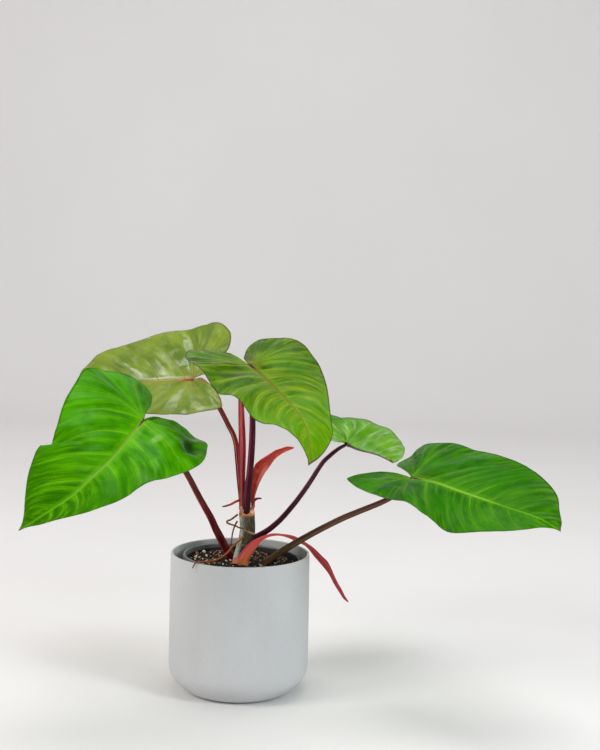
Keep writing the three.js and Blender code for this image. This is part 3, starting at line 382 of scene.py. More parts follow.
def blade_spine(d, u):
    U = np.linspace(-0.5, 1.1, 161)
    phi = np.where(U >= 0, -(d["k1"] * U + d["k2"] * U * U), d["kl"] * U)
    dx, dn = np.cos(phi), np.sin(phi)
    h = U[1] - U[0]
    X = np.concatenate([[0], np.cumsum((dx[1:] + dx[:-1]) * h / 2)])
    N = np.concatenate([[0], np.cumsum((dn[1:] + dn[:-1]) * h / 2)])
    X -= np.interp(0, U, X)
    N -= np.interp(0, U, N)
    return np.interp(u, U, X), np.interp(u, U, N), np.interp(u, U, phi)


def blade_flat(d, side, v, s):
    """Flat place (along, across)/L of rib v at fraction s from the midrib to the margin, and the rib's foot."""
    q = crom(OUTLINE, v)
    a, b = q[..., 0].copy(), q[..., 1].copy()
    a = np.where(a < 0, a * (d["lL"] if side > 0 else d["lR"]), a)
    b = np.maximum(b * (d["wL"] if side > 0 else d["wR"]), 0)
    a0, b0 = np.maximum(q[..., 0], 0), np.maximum(q[..., 1], 0)
    m = a0 - 0.55 * b0
    m = 0.5 * (m + np.sqrt(m * m + 0.0016))
    m = np.maximum(0, (m - 0.02) / 0.98)
    m = np.minimum(m, a0)
    m = np.where(q[..., 0] <= 0, 0, m)
    ka, kb = m + (a - m) * 0.30, b * 0.60
    A = (1 - s) ** 2 * m + 2 * s * (1 - s) * ka + s * s * a
    B = 2 * s * (1 - s) * kb + s * s * b
    return A, B, m


def blade_point(d, w, side, v, s):
    """Place in mm of the blade's middle surface."""
    v, s = np.asarray(v, float), np.asarray(s, float)
    A, B, m = blade_flat(d, side, v, s)
    ea, eb, en = blade_axes(d)
    x, n, phi = blade_spine(d, A)
    al = (d["aL"] if side > 0 else d["aR"]) + (d["gL"] if side > 0 else d["gR"]) * np.maximum(0, -A)
    be = d["bL"] if side > 0 else d["bR"]
    be = be if abs(be) > 1e-4 else 1e-4
    y = side * (np.sin(al) - np.sin(al - be * B)) / be
    z = (np.cos(al - be * B) - np.cos(al)) / be
    t = d["tw"] * A
    y2, z2 = y * np.cos(t) - z * np.sin(t), y * np.sin(t) + z * np.cos(t)
    P = np.array([d["jx"], d["jy"], d["jz"]]) + d["L"] * (
        (x - z2 * np.sin(phi))[..., None] * ea + (n + z2 * np.cos(phi))[..., None] * en
        + (y2 + d["ks"] * A * np.abs(A))[..., None] * eb)
    M = crom(np.array(w["M"]), np.clip(m, 0, 1))
    E = crom(np.array(w["WL" if side > 0 else "WR"]), v)
    D = M * (1 - s)[..., None] + E * s[..., None]
    return P + D[..., 0:1] * RIGHT + D[..., 1:2] * UPV


# Side veins of each half: (rib at the midrib, half way, at the margin, strength), from the lobe to the tip.
PLAIN = [(.86, .85, .84, .35), (.76, .75, .73, .7), (.66, .65, .63, .5), (.545, .55, .545, .7), (.455, .455, .45, .9),
         (.40, .39, .375, .9), (.335, .325, .30, .85), (.27, .25, .22, .6), (.20, .18, .15, .4)]
VEINS = {
    "A": {-1: [(.88, .87, .86, .3), (.755, .735, .72, .9), (.64, .60, .57, .45), (.545, .51, .485, .85), (.468, .443, .42, .9),
               (.415, .383, .335, 1.0), (.36, .322, .285, .8), (.29, .25, .20, .75), (.215, .18, .14, .4)],
          1: [(.84, .80, .76, .5), (.72, .69, .66, .45), (.575, .565, .55, .7), (.455, .462, .467, 1.0), (.404, .402, .398, 1.0),
              (.338, .322, .30, .9), (.256, .238, .21, .6), (.19, .17, .14, .3)]},
    "B": {-1: [(.87, .86, .85, .6), (.79, .775, .76, .7), (.72, .725, .69, .8), (.62, .60, .57, .5), (.52, .51, .49, .4),
               (.45, .42, .395, .8), (.39, .367, .345, 1.0), (.315, .29, .26, .6), (.24, .21, .18, .4)],
          1: [(.935, .925, .90, .9), (.80, .79, .78, .5), (.665, .67, .675, .8), (.545, .55, .56, .4), (.425, .443, .455, .9),
              (.36, .355, .345, .6), (.29, .275, .25, .5), (.215, .19, .16, .3)]},
    "C": {1: [(.90, .89, .88, .5), (.79, .787, .77, 1.0), (.705, .69, .66, .9), (.60, .60, .575, .6), (.495, .512, .487, .9),
              (.43, .425, .415, .6), (.408, .400, .367, .9), (.358, .36, .342, .8), (.30, .29, .27, .7), (.245, .23, .20, .5), (.18, .16, .13, .3)],
         -1: [(.86, .85, .84, .6), (.75, .735, .71, 1.0), (.64, .64, .63, .5), (.53, .545, .56, .5), (.43, .46, .50, .8),
              (.385, .381, .378, .9), (.362, .352, .325, .8), (.34, .327, .29, .9), (.315, .293, .245, .9), (.277, .25, .20, .9),
              (.22, .19, .15, .7), (.16, .13, .10, .5)]},
    "D": {-1: [(.90, .90, .90, .3), (.80, .80, .79, .4), (.70, .71, .71, .4), (.58, .60, .63, .4), (.378, .47, .54, 1.0),
               (.328, .378, .42, .8), (.286, .335, .37, .7), (.235, .26, .28, .5), (.18, .19, .20, .3)],
          1: PLAIN},
    "E": {1: [(.90, .90, .89, .4), (.745, .77, .75, .8), (.655, .66, .65, .4), (.55, .577, .56, 1.0), (.475, .485, .48, .4),
              (.43, .408, .38, 1.0), (.38, .365, .35, .3), (.333, .333, .317, .95), (.27, .26, .24, .4), (.21, .19, .16, .4)],
         -1: [(.87, .87, .86, .4), (.755, .65, .61, .85), (.54, .544, .542, 1.0), (.43, .422, .425, 1.0), (.385, .375, .37, .3),
              (.338, .33, .313, .9), (.26, .25, .23, .4), (.19, .17, .14, .3)]},
}
# Folds of each blade: (side, rib, from s, to s, half width in mm, height in mm), up is positive.
FOLDS = {
    "A": [(-1, (0.358, 0.352), 0.35, 1.0, 4.0, -2.6), (-1, (0.39, 0.392), 0.45, 1.0, 5.5, 1.8), (1, (0.60, 0.60), 0.45, 1.0, 9.0, 1.5)],
}
NV, NS = 196, 39
# Hollows and raised rims that run along the margin: (side, rib from, rib to, s of the middle, half width in s, height in mm).
ROLLS = {
    "A": [(1, 0.50, 0.86, 0.80, 0.12, -4.2), (1, 0.48, 0.80, 1.0, 0.09, 2.0)],
}
# Small turns of the margin: per blade and half, (rib, sideways mm, upward mm).
NUDGES = {
    "A": {-1: [(0.27, 0.0, 0.0), (0.30, -1.0, -1.8), (0.32, -2.6, -3.2), (0.335, -3.2, -3.4), (0.35, -1.2, -8.2), (0.362, 0.4, -12.4),
               (0.375, -2.0, -14.0), (0.39, -2.4, -12.0), (0.41, -1.2, -7.0), (0.43, -0.6, -3.6), (0.46, 0.0, 0.0)]},
}
# hollows and swellings of the blades: side, place (mm from the heel along and across), reach both ways, height
DENTS = {
    "A": [(1, 2.0, 61.0, 15.0, 9.5, -6.0), (1, -16.0, 52.0, 9.0, 8.0, -2.5), (1, 6.0, 78.0, 16.0, 5.0, 1.8), (1, 22.0, 29.0, 15.0, 9.0, 2.2),
          (1, 18.0, 46.0, 14.0, 6.0, 1.8)],
}


def nudge(key, side, V, S):
    """Shift of the blade in the two view directions, growing towards the margin."""
    rows = NUDGES.get(key, {}).get(side)
    if not rows:
        return 0.0
    g = np.array(rows, float)
    dx, dy = np.interp(V, g[:, 0], g[:, 1]), np.interp(V, g[:, 0], g[:, 2])
    k = S ** 3.2
    return (dx * k)[..., None] * RIGHT + (dy * k)[..., None] * UPV


def vein_lines(key, side, s):
    """Rib number of every side vein at s, smallest rib first, with strengths."""
    rows = sorted(VEINS[key][side], key=lambda r: r[0])
    s = np.asarray(s, float)
    lines = [r[0] * (1 - s) * (1 - 2 * s) + r[1] * 4 * s * (1 - s) + r[2] * s * (2 * s - 1) for r in rows]
    return np.array(lines), [r[3] for r in rows]


def vein_numbers(key, side, V, S):
    """At each (v, s): the vein coordinate (whole at a side vein), and the strength of the nearest vein."""
    lines, strength = vein_lines(key, side, S[0])
    n = len(strength)
    gap = lines[0]
    pad_lo = [lines[0] * 0, lines[0] * 0.45]
    pad_hi = [lines[-1] + (1.0 - lines[-1]) * 0.5, lines[0] * 0 + 1.0]
    full = np.array(pad_lo + list(lines) + pad_hi)
    for k in range(1, len(full)):
        full[k] = np.maximum(full[k], full[k - 1] + 0.008)
    st = np.array([0, 0.15] + strength + [0.2, 0])
    U = np.empty_like(V)
    for j in range(V.shape[1]):
        U[:, j] = np.interp(V[:, j], full[:, j], np.arange(n + 4))
    return U, st[np.clip(np.rint(U).astype(int), 0, n + 3)]


def flat_distance(px, py, line):
    """Distance from points to a polyline, all flat."""
    best = np.full(px.shape, 1e9)
    for (x0, y0), (x1, y1) in zip(line[:-1], line[1:]):
        dx, dy = x1 - x0, y1 - y0
        t = np.clip(((px - x0) * dx + (py - y0) * dy) / max(dx * dx + dy * dy, 1e-12), 0, 1)
        best = np.minimum(best, np.hypot(px - x0 - t * dx, py - y0 - t * dy))
    return best


def rib_samples(key, n):
    """Rib numbers tip to notch, closer where the margin is long and beside side veins."""
    g = np.linspace(0, 1, 1601)
    q = crom(OUTLINE, g)
    dens = np.hypot(np.gradient(q[:, 0], g), np.gradient(q[:, 1], g)) + 0.5
    near = np.zeros_like(g)
    for side in (1, -1):
        lines, strength = vein_lines(key, side, np.array([0.0, 0.35]))
        for row in lines:
            near += np.exp(-((g - row[1]) / 0.006) ** 2)
    dens = dens * (1 + 1.6 * np.clip(near, 0, 1))
    c = np.concatenate([[0], np.cumsum((dens[1:] + dens[:-1]) / 2)])
    return np.interp(np.linspace(0, 1, n), c / c[-1], g)


def build_blade(name, key, mats, nv=216, ns=44, thick=0.55, seed=1, slot="leaf_blade", pucker=0.055, wave=1.0, node=None):
    d, w = LEAVES[key]["par"], LEAVES[key]["warp"]
    L = d["L"]
    vs = rib_samples(key, nv)
    ss = (np.arange(ns) / (ns - 1)) ** 1.45
    V, S = np.meshgrid(vs, ss, indexing="ij")
    ids, side_of = {}, {}
    P, H, TT, BB, RR = [], [], [], [], []                 # shared vertices
    par = {k: {} for k in (1, -1)}
    index = {}
    for side in (1, -1):
        A, B, m = blade_flat(d, side, V, S)
        X, Y = A * L, B * L
        Q = blade_point(d, w, side, V, S) + nudge(key, side, V, S)
        e = 1e-3
        Av1, Bv1, _ = blade_flat(d, side, np.clip(V + e, 0, 1), S)
        Av0, Bv0, _ = blade_flat(d, side, np.clip(V - e, 0, 1), S)
        As1, Bs1, _ = blade_flat(d, side, V, np.clip(S + e, 0, 1))
        As0, Bs0, _ = blade_flat(d, side, V, np.clip(S - e, 0, 1))
        dvx, dvy = (Av1 - Av0) / (2 * e) * L, (Bv1 - Bv0) / (2 * e) * L
        dsx, dsy = (As1 - As0), (Bs1 - Bs0)
        ln = np.maximum(np.hypot(dsx, dsy), 1e-9)
        perp = np.abs(dvx * dsy - dvy * dsx) / ln           # mm of spacing per unit of rib number
        U, K = vein_numbers(key, side, V, S)
        dU = np.gradient(U, vs, axis=0)
        VW = perp / np.maximum(dU, 1.0)                      # mm per vein spacing
        mid = np.hypot(Y, np.minimum(X, 0))
        edge_line = np.stack([blade_flat(d, side, np.linspace(0, 1, 240), np.ones(240))[k] * L for k in (0, 1)], -1)
        ED = flat_distance(X, Y, edge_line)
        fr = U - np.rint(U)
        vd = np.abs(fr) * VW                                  # mm to the nearest side vein
        fade = smooth(0.0, 0.05, S) * (1 - smooth(0.72, 1.0, S))
        # shape of the whole blade: swollen between side veins, gently wavy
        swell = (0.5 - 0.5 * np.cos(2 * np.pi * U)) ** 0.8
        env = smooth(0.02, 0.30, S) * (1 - 0.75 * smooth(0.75, 1.0, S))
        near_veins = np.interp(np.clip(U, 0, 99), np.arange(len(VEINS[key][side]) + 4),
                               [0, .4] + [r[3] for r in sorted(VEINS[key][side], key=lambda r: r[0])] + [.3, 0])
        rise = pucker * np.minimum(VW, 26) * (swell - 0.35) * env * (0.5 + 0.5 * near_veins)
        flat3 = np.stack([X / 30.0, side * Y / 30.0, np.full_like(X, seed * 3.7)], -1)
        rise = rise + wave * 1.0 * fbm(flat3, seed, 3) * smooth(4, 30, mid)
        rise = rise + (0.15 + 0.06 * wave) * fbm(flat3 * 3.0, seed + 9, 2) * smooth(3, 14, mid)
        for (fs, rib, s0, s1, hw, hh) in FOLDS.get(key, ()):
            if fs != side:
                continue
            rr = rib if not isinstance(rib, tuple) else rib[0] + (rib[1] - rib[0]) * S
            off = np.abs(V - rr) * perp
            prof = np.exp(-(off / hw) ** 2)
            rise = rise + hh * prof * smooth(s0, s0 + 0.25, S) * (1 - smooth(s1, s1 + 0.12, S) if s1 < 1 else 1)
        for (fs, x0, y0, rx, ry, hh) in DENTS.get(key, ()):
            if fs == side:
                rise = rise + hh * np.exp(-((X - x0) / rx) ** 2 - ((Y - y0) / ry) ** 2)
        for (fs, v0, v1, sm, sh, hh) in ROLLS.get(key, ()):
            if fs == side:
                along = smooth(v0, v0 + (v1 - v0) * 0.35, V) * (1 - smooth(v1 - (v1 - v0) * 0.35, v1, V))
                rise = rise + hh * along * np.exp(-((S - sm) / sh) ** 2)
        # relief of the upper and the lower face
        g_w = 1.1
        groove = 0.22 * K * np.exp(-(vd / g_w) ** 2) * fade
        hw_mid = 1.9 * (1 - 0.75 * np.clip(X / L, 0, 1)) + 0.25
        m_top = 0.55 * np.exp(-(mid / (hw_mid * 1.1)) ** 2) * (1 - 0.5 * np.clip(X / L, 0, 1))
        shoulder = 0.30 * np.exp(-((mid - 2.4 * hw_mid) / (hw_mid * 1.3)) ** 2)
        top = thick / 2 - groove - m_top + shoulder
        ridge = 0.30 * K * np.exp(-(vd / 1.0) ** 2) * fade
        m_bot = 1.75 * (1 - 0.8 * np.clip(X / L, 0, 1)) * np.sqrt(np.clip(1 - (mid / (hw_mid * 1.5)) ** 2, 0, 1))
        m_bot = np.where(X >= -0.5, m_bot, 0)
        bot = thick / 2 + ridge + m_bot
        rimt = smooth(0.0, 1.4, ED)
        top, bot = top * (0.55 + 0.45 * rimt), bot * (0.55 + 0.45 * rimt)
        tipd = np.hypot(X - L, Y)
        par[side] = dict(vu=U, vs=S, vw=VW, vk=K, md=mid, ed=ED, ma=np.clip(X / L, -1, 1), td=tipd,
                         fx=X, fy=side * Y, sd=np.full_like(X, float(side)))
        I = np.zeros((nv, ns), int)
        q0 = crom(OUTLINE, vs)[:, 0]
        for i in range(nv):
            for j in range(ns):
                if i == 0:
                    k = "tip"
                elif i == nv - 1 or (j == 0 and q0[i] <= 0) or (j == 0 and m[i, 0] <= 1e-9):
                    k = "heel"
                elif j == 0:
                    k = ("mid", i)
                else:
                    k = (side, i, j)
                if k not in ids:
                    ids[k] = len(P)
                    if k == "heel":
                        P.append(blade_point(d, w, side, np.array(1.0), np.array(0.0)))
                    else:
                        P.append(Q[i, j])
                    H.append(rise[i, j] if k not in ("heel", "tip") else 0.0)
                    TT.append(top[i, j] if k != "heel" else thick / 2)
                    BB.append(bot[i, j] if k != "heel" else thick / 2 + 1.0)
                I[i, j] = ids[k]
        index[side] = I
    P, H, TT, BB = np.array(P), np.array(H), np.array(TT), np.array(BB)
    n_base = len(P)
    faces, corners, sides = [], [], []
    for side in (1, -1):
        I = index[side]
        for i in range(nv - 1):
            for j in range(ns - 1):
                ring = [(i, j), (i + 1, j), (i + 1, j + 1), (i, j + 1)]
                if side > 0:
                    ring = ring[::-1]
                out, used = [], set()
                for (a, b) in ring:
                    if I[a, b] not in used:
                        used.add(I[a, b])
                        out.append((a, b))
                if len(out) < 3:
                    continue
                faces.append([I[a, b] for a, b in out])
                corners.append([(a, b) for a, b in out])
                sides.append(side)

    def normals(Q):
        N = np.zeros_like(Q)
        for f in faces:
            p = Q[f]
            c = np.cross(p[2] - p[0], (p[3] if len(f) == 4 else p[1]) - (p[1] if len(f) == 4 else p[0]))
            if len(f) == 3:
                c = np.cross(p[1] - p[0], p[2] - p[0])
            for k in f:
                N[k] += c
        return unit(N)

    N0 = normals(P)
    ray = unit(P - CAM_AT)
    # the swelling and waves go along the normal
    Pm = P + N0 * H[:, None]
    N1 = normals(Pm)
    top_v, bot_v = Pm + N1 * TT[:, None], Pm - N1 * BB[:, None]
    verts = [top_v, bot_v]
    # rounded rim
    rim_ids, rim_pts = {}, []
    for side in (1, -1):
        I = index[side]
        for i in range(nv):
            k = I[i, ns - 1]
            if k in rim_ids:
                continue
            inner = I[i, ns - 2]
            if i == 0:
                o = Pm[k] - Pm[index[1][1, 0]]
            elif k == ids["heel"]:
                o = Pm[k] - Pm[index[1][nv // 3, 0]]
            else:
                o = Pm[k] - Pm[inner]
                tang = Pm[I[min(i + 1, nv - 1), ns - 1]] - Pm[I[i - 1, ns - 1]]
                tang = unit(tang)
                o = o - tang * (o @ tang)
            o = o - N1[k] * (o @ N1[k])
            rim_ids[k] = 2 * n_base + len(rim_pts)
            rim_pts.append(Pm[k] + unit(o) * 0.22)
    verts.append(np.array(rim_pts))
    verts = np.concatenate(verts)
    out_faces, out_mats = [], []
    names = ("vu", "vs", "vw", "vk", "md", "ed", "ma", "td", "fx", "fy", "sd")
    data = {k: [] for k in names}
    for f, c, side in zip(faces, corners, sides):
        out_faces.append(f)
        out_mats.append(0)
        for (a, b) in c:
            for k in names:
                data[k].append(par[side][k][a, b])
    for f, c, side in zip(faces, corners, sides):
        out_faces.append([n_base + k for k in f[::-1]])
        out_mats.append(1)
        for (a, b) in c[::-1]:
            for k in names:
                data[k].append(par[side][k][a, b])
    for side in (1, -1):
        I = index[side]
        for i in range(nv - 1):
            a, b = I[i, ns - 1], I[i + 1, ns - 1]
            if a == b:
                continue
            for quad, ci in (([a, b, rim_ids[b], rim_ids[a]], (i, i + 1, i + 1, i)),
                             ([rim_ids[a], rim_ids[b], n_base + b, n_base + a], (i, i + 1, i + 1, i))):
                if side < 0:
                    quad, ci = quad[::-1], ci[::-1]
                out_faces.append(quad)
                out_mats.append(2)
                for r in ci:
                    for k in names:
                        data[k].append(par[side][k][r, ns - 1] if k != "ed" else 0.0)
    ob = make_piece(name, verts, out_faces, mats, out_mats, corner=data, slot=slot, replaces=(node,))
    # what the stalk needs: points under the midrib, near the heel
    mids = sorted([(i, v) for i, v in enumerate(vs) if ("mid", i) in ids], key=lambda r: -r[1])
    line = [Pm[ids["heel"]]] + [Pm[ids[("mid", i)]] for i, _ in mids]
    down = [N1[ids["heel"]]] + [N1[ids[("mid", i)]] for i, _ in mids]
    return ob, np.array(line), np.array(down)


# ------------------------------------------------------------------ round pieces: shape
def resample(points, n):
    P = crom(points, np.linspace(0, 1, 400))
    seg = np.concatenate([[0], np.cumsum(np.linalg.norm(np.diff(P, axis=0), axis=1))])
    s = np.linspace(0, seg[-1], n)
    u = np.interp(s, seg, np.linspace(0, 1, 400))
    return crom(points, u), u, s


def frames(C, first):
    """Tangents and two cross directions along the centre line C; the first cross direction starts along first."""
    T = unit(np.gradient(C, axis=0))
    X = np.zeros_like(C)
    x = np.asarray(first, float)
    for i in range(len(C)):
        x = x - T[i] * (x @ T[i])
        x = x / np.linalg.norm(x)
        X[i] = x
    return T, X, np.cross(T, X)


def build_tube(name, points, radii, rings, sides, mats, relief=None, cap0="flat", cap1="round", first=(0, -1, 0),
               slot=None, replaces=(), body="root", mat_of=None, closed_tip=1.0):
    """relief(u, s, ang) gives mm added to the radius; ang 0 is the side that starts towards the front."""
    C, u, s = resample(points, rings)
    R = lerp_list(radii, u)
    T, X, Y = frames(C, first)
    start_at = C[0]
    if cap0 == "round":                                    # begin with rings over a dome
        r0, k = R[0], 5
        extra = [math.sin(math.pi / 2 * (k - j) / (k + 1)) for j in range(k)]
        start_at = C[0] - T[0] * r0
        C = np.concatenate([[C[0] - T[0] * r0 * e for e in extra], C])
        R = np.concatenate([[r0 * math.sqrt(max(1 - e * e, 0.0)) for e in extra], R])
        T, X, Y = (np.concatenate([np.repeat(q[:1], k, 0), q]) for q in (T, X, Y))
        u, s = np.concatenate([np.zeros(k), u]), np.concatenate([np.zeros(k), s])
    if cap1 == "round":                                    # draw the last rings in over a dome
        r_end, k = R[-1] * closed_tip, 5
        extra = [math.sin(math.pi / 2 * (j + 1) / (k + 1)) for j in range(k)]
        C = np.concatenate([C, [C[-1] + T[-1] * r_end * e for e in extra]])
        R = np.concatenate([R, [R[-1] * math.sqrt(max(1 - e * e, 0.0)) for e in extra]])
        T, X, Y = (np.concatenate([q, np.repeat(q[-1:], k, 0)]) for q in (T, X, Y))
        u = np.concatenate([u, np.ones(k)])
        s = np.concatenate([s, [s[-1] + r_end * e for e in extra]])
        tip_at = C[-1] + T[-1] * r_end * (1 - extra[-1])
    else:
        tip_at = C[-1]
    ang = np.linspace(0, 2 * math.pi, sides, endpoint=False)
    n = len(C)
    Ug, Ag = np.meshgrid(u, ang, indexing="ij")
    Sg, _ = np.meshgrid(s, ang, indexing="ij")
    Rg = np.repeat(R[:, None], sides, 1)
    if relief is not None:
        Rg = Rg + relief(Ug, Sg, Ag, Rg)
    V = C[:, None, :] + Rg[..., None] * (np.cos(Ag)[..., None] * X[:, None, :] + np.sin(Ag)[..., None] * Y[:, None, :])
    verts = np.concatenate([V.reshape(-1, 3), [start_at if cap0 == "round" else C[0], tip_at]])
    faces = []
    for i in range(n - 1):
        for k in range(sides):
            a, b = i * sides + k, i * sides + (k + 1) % sides
            faces.append((a, b, b + sides, a + sides))
    c0, c1 = n * sides, n * sides + 1
    for k in range(sides):
        faces.append((c0, (k + 1) % sides, k))
        faces.append((c1, (n - 1) * sides + k, (n - 1) * sides + (k + 1) % sides))
    ca, sa = np.cos(Ag).ravel(), np.sin(Ag).ravel()
    pt = dict(tu=np.append(Ug.ravel(), [0, 1]), tl=np.append(Sg.ravel(), [0, s[-1]]),
              ca=np.append(ca, [0, 0]), sa=np.append(sa, [0, 0]))
    fm = [mat_of(f, verts) for f in faces] if mat_of else None
    return make_piece(name, verts, faces, mats, fm, point=pt, slot=slot, replaces=replaces, body=body)


def build_bract(name, edges, rows, cols, mats, trough, keel, thick, slot, replaces, seed=0, tip_round=0.06, curl=0.0):
    """A long thin trough between two edges, closed all round, with a keel along its middle."""
    A, B = (np.array(e, float) for e in edges)
    u = np.linspace(0, 1, rows)
    a, b = crom(A, u), crom(B, u)
    mid = (a + b) / 2
    along = unit(np.gradient(mid, axis=0))
    across = unit(b - a)
    wide = np.linalg.norm(b - a, axis=1)
    up = unit(np.cross(across, along))
    f = (1 - np.cos(np.linspace(0, math.pi, cols))) / 2
    f = 0.5 * f + 0.5 * np.linspace(0, 1, cols)
    F, U = np.meshgrid(f, u)
    W = wide[:, None] * np.ones_like(F)
    bow = trough * W * 4 * F * (1 - F)
    bow = bow + keel * W * np.exp(-((F - 0.42) / 0.10) ** 2) * smooth(0, .08, U) * (1 - smooth(.8, 1, U))
    grid3 = np.stack([F * 5 + seed, U * 9, np.full_like(F, seed)], -1)
    bow = bow + 0.22 * fbm(grid3, seed, 3) * smooth(0, .1, U)
    lines = 0.05 * np.cos(2 * math.pi * F * 11 + 0.7 * vnoise(grid3, seed + 3))
    M = a[:, None, :] + across[:, None, :] * (F * W)[..., None] + up[:, None, :] * bow[..., None]
    M = M + along[:, None, :] * (curl * W * (4 * F * (1 - F)))[..., None] * smooth(.7, 1, U)[..., None]
    dU, dF = np.gradient(M, axis=0), np.gradient(M, axis=1)
    N = unit(np.cross(dF, dU))
    edge = np.minimum(F, 1 - F) * W
    t = thick * (0.35 + 0.65 * smooth(0, 1.6, edge)) * (0.5 + 0.5 * (1 - smooth(.9, 1, U)))
    top = M + N * (t / 2 + lines * smooth(0, 1, edge))[..., None]
    bot = M - N * (t / 2 + lines * smooth(0, 1, edge))[..., None]
    n = rows * cols
    verts = np.concatenate([top.reshape(-1, 3), bot.reshape(-1, 3)])
    faces = []
    for i in range(rows - 1):
        for j in range(cols - 1):
            q = i * cols + j
            faces.append((q, q + 1, q + cols + 1, q + cols))
            faces.append((n + q, n + q + cols, n + q + cols + 1, n + q + 1))
    ring = [j for j in range(cols)] + [i * cols + cols - 1 for i in range(1, rows)] \
        + [(rows - 1) * cols + j for j in range(cols - 2, -1, -1)] + [i * cols for i in range(rows - 2, 0, -1)]
    # a rounded lip round the border
    Mc = M.reshape(-1, 3)
    centre = Mc.reshape(rows, cols, 3).mean(1)
    lip = []
    for k, r in enumerate(ring):
        i = r // cols
        nxt, prv = Mc[ring[(k + 1) % len(ring)]], Mc[ring[k - 1]]
        tang = unit(nxt - prv)
        o = np.cross(tang, N.reshape(-1, 3)[r])
        lip.append(Mc[r] + o * t.reshape(-1)[r] * 0.45)
    base = len(verts)
    verts = np.concatenate([verts, lip])
    L = len(ring)
    for k in range(L):
        r0, r1 = ring[k], ring[(k + 1) % L]
        faces.append((r1, r0, base + k, base + (k + 1) % L))
        faces.append((base + (k + 1) % L, base + k, n + r0, n + r1))
    U1, F1 = U.ravel(), F.ravel()
    pt = dict(tu=np.concatenate([U1, U1, U1[ring]]), tf=np.concatenate([F1, F1, F1[ring]]),
              te=np.concatenate([edge.ravel(), edge.ravel(), np.zeros(L)]))
    ob = make_piece(name, verts, faces, mats, None, point=pt, slot=slot, replaces=replaces)
    fix_outward(ob)
    return ob


def fix_outward(ob):
    """Turns the faces round if the closed piece is inside out."""
    me = ob.data
    co = np.empty(len(me.vertices) * 3)
    me.vertices.foreach_get("co", co)
    co = co.reshape(-1, 3)
    me.calc_loop_triangles()
    tri = np.empty(len(me.loop_triangles) * 3, int)
    me.loop_triangles.foreach_get("vertices", tri)
    p = co[tri.reshape(-1, 3)]
    if np.einsum("ij,ij->i", p[:, 0], np.cross(p[:, 1], p[:, 2])).sum() < 0:
        me.flip_normals()


def lathe(profile, sides, wobble=None):
    """Closed solid of revolution; the profile runs from the axis out and back to the axis."""
    profile = np.asarray(profile, float)
    verts, rings = [], []
    ang = np.linspace(0, 2 * math.pi, sides, endpoint=False)
    for r, z in profile:
        if r < 1e-6:
            rings.append([len(verts)])
            verts.append((0, 0, z))
        else:
            rr = r + (wobble(ang, z) if wobble else 0)
            rings.append(list(range(len(verts), len(verts) + sides)))
            verts += list(zip(rr * np.cos(ang), rr * np.sin(ang), np.full(sides, z)))
    faces = []
    for a, b in zip(rings[:-1], rings[1:]):
        for k in range(sides):
            k2 = (k + 1) % sides
            if len(a) == 1:
                faces.append((a[0], b[k2], b[k]))
            elif len(b) == 1:
                faces.append((a[k], a[k2], b[0]))
            else:
                faces.append((a[k], a[k2], b[k2], b[k]))
    return np.array(verts, float), faces


def rounded(profile, reach=1.2, steps=4):
    """Rounds the inner corners of a profile with short arcs."""
    P = [np.array(p, float) for p in profile]
    out = [P[0]]
    for a, b, c in zip(P[:-2], P[1:-1], P[2:]):
        r = min(reach, np.linalg.norm(a - b) * 0.45, np.linalg.norm(c - b) * 0.45)
        p0, p2 = b + unit(a - b) * r, b + unit(c - b) * r
        for k in range(steps + 1):
            t = k / steps
            out.append((1 - t) ** 2 * p0 + 2 * t * (1 - t) * b + t * t * p2)
    out.append(P[-1])
    return np.array(out)


def dense(profile, step):
    """Adds points so that no stretch is longer than step."""
    out = [profile[0]]
    for a, b in zip(profile[:-1], profile[1:]):
        n = max(1, int(math.ceil(np.linalg.norm(b - a) / step)))
        out += [a + (b - a) * k / n for k in range(1, n + 1)]
    return np.array(out)


def pebble(rng, size, subdiv=2, rough=0.25, flat=(1, 1, 1), cut=0.0):
    """An irregular closed grain, as (verts, faces)."""
    t = (1 + 5 ** 0.5) / 2
    V = [(-1, t, 0), (1, t, 0), (-1, -t, 0), (1, -t, 0), (0, -1, t), (0, 1, t), (0, -1, -t), (0, 1, -t),
         (t, 0, -1), (t, 0, 1), (-t, 0, -1), (-t, 0, 1)]
    F = [(0, 11, 5), (0, 5, 1), (0, 1, 7), (0, 7, 10), (0, 10, 11), (1, 5, 9), (5, 11, 4), (11, 10, 2), (10, 7, 6),
         (7, 1, 8), (3, 9, 4), (3, 4, 2), (3, 2, 6), (3, 6, 8), (3, 8, 9), (4, 9, 5), (2, 4, 11), (6, 2, 10), (8, 6, 7), (9, 8, 1)]
    V = [np.array(v, float) / math.sqrt(1 + t * t) for v in V]
    for _ in range(subdiv):
        seen, G = {}, []
        def midp(a, b):
            k = (min(a, b), max(a, b))
            if k not in seen:
                m = V[a] + V[b]
                V.append(m / np.linalg.norm(m))
                seen[k] = len(V) - 1
            return seen[k]
        for a, b, c in F:
            x, y, z = midp(a, b), midp(b, c), midp(c, a)
            G += [(a, x, z), (b, y, x), (c, z, y), (x, y, z)]
        F = G
    V = np.array(V)
    off = rng.uniform(-50, 50, 3)
    V = V * (1 + rough * fbm(V * 1.7 + off, 3, 3))[:, None]
    if cut:
        for _ in range(3):
            nrm = unit(rng.normal(size=3))
            dist = V @ nrm
            lim = rng.uniform(0.55, 0.8)
            V = V - nrm * np.maximum(dist - lim, 0)[:, None] * cut
    V = V * (np.array(flat) * size)
    q = rng.normal(size=4)
    q /= np.linalg.norm(q)
    w_, x, y, z = q
    Rm = np.array([[1 - 2 * (y * y + z * z), 2 * (x * y - z * w_), 2 * (x * z + y * w_)],
                   [2 * (x * y + z * w_), 1 - 2 * (x * x + z * z), 2 * (y * z - x * w_)],
                   [2 * (x * z - y * w_), 2 * (y * z + x * w_), 1 - 2 * (x * x + y * y)]])
    return V @ Rm.T, F


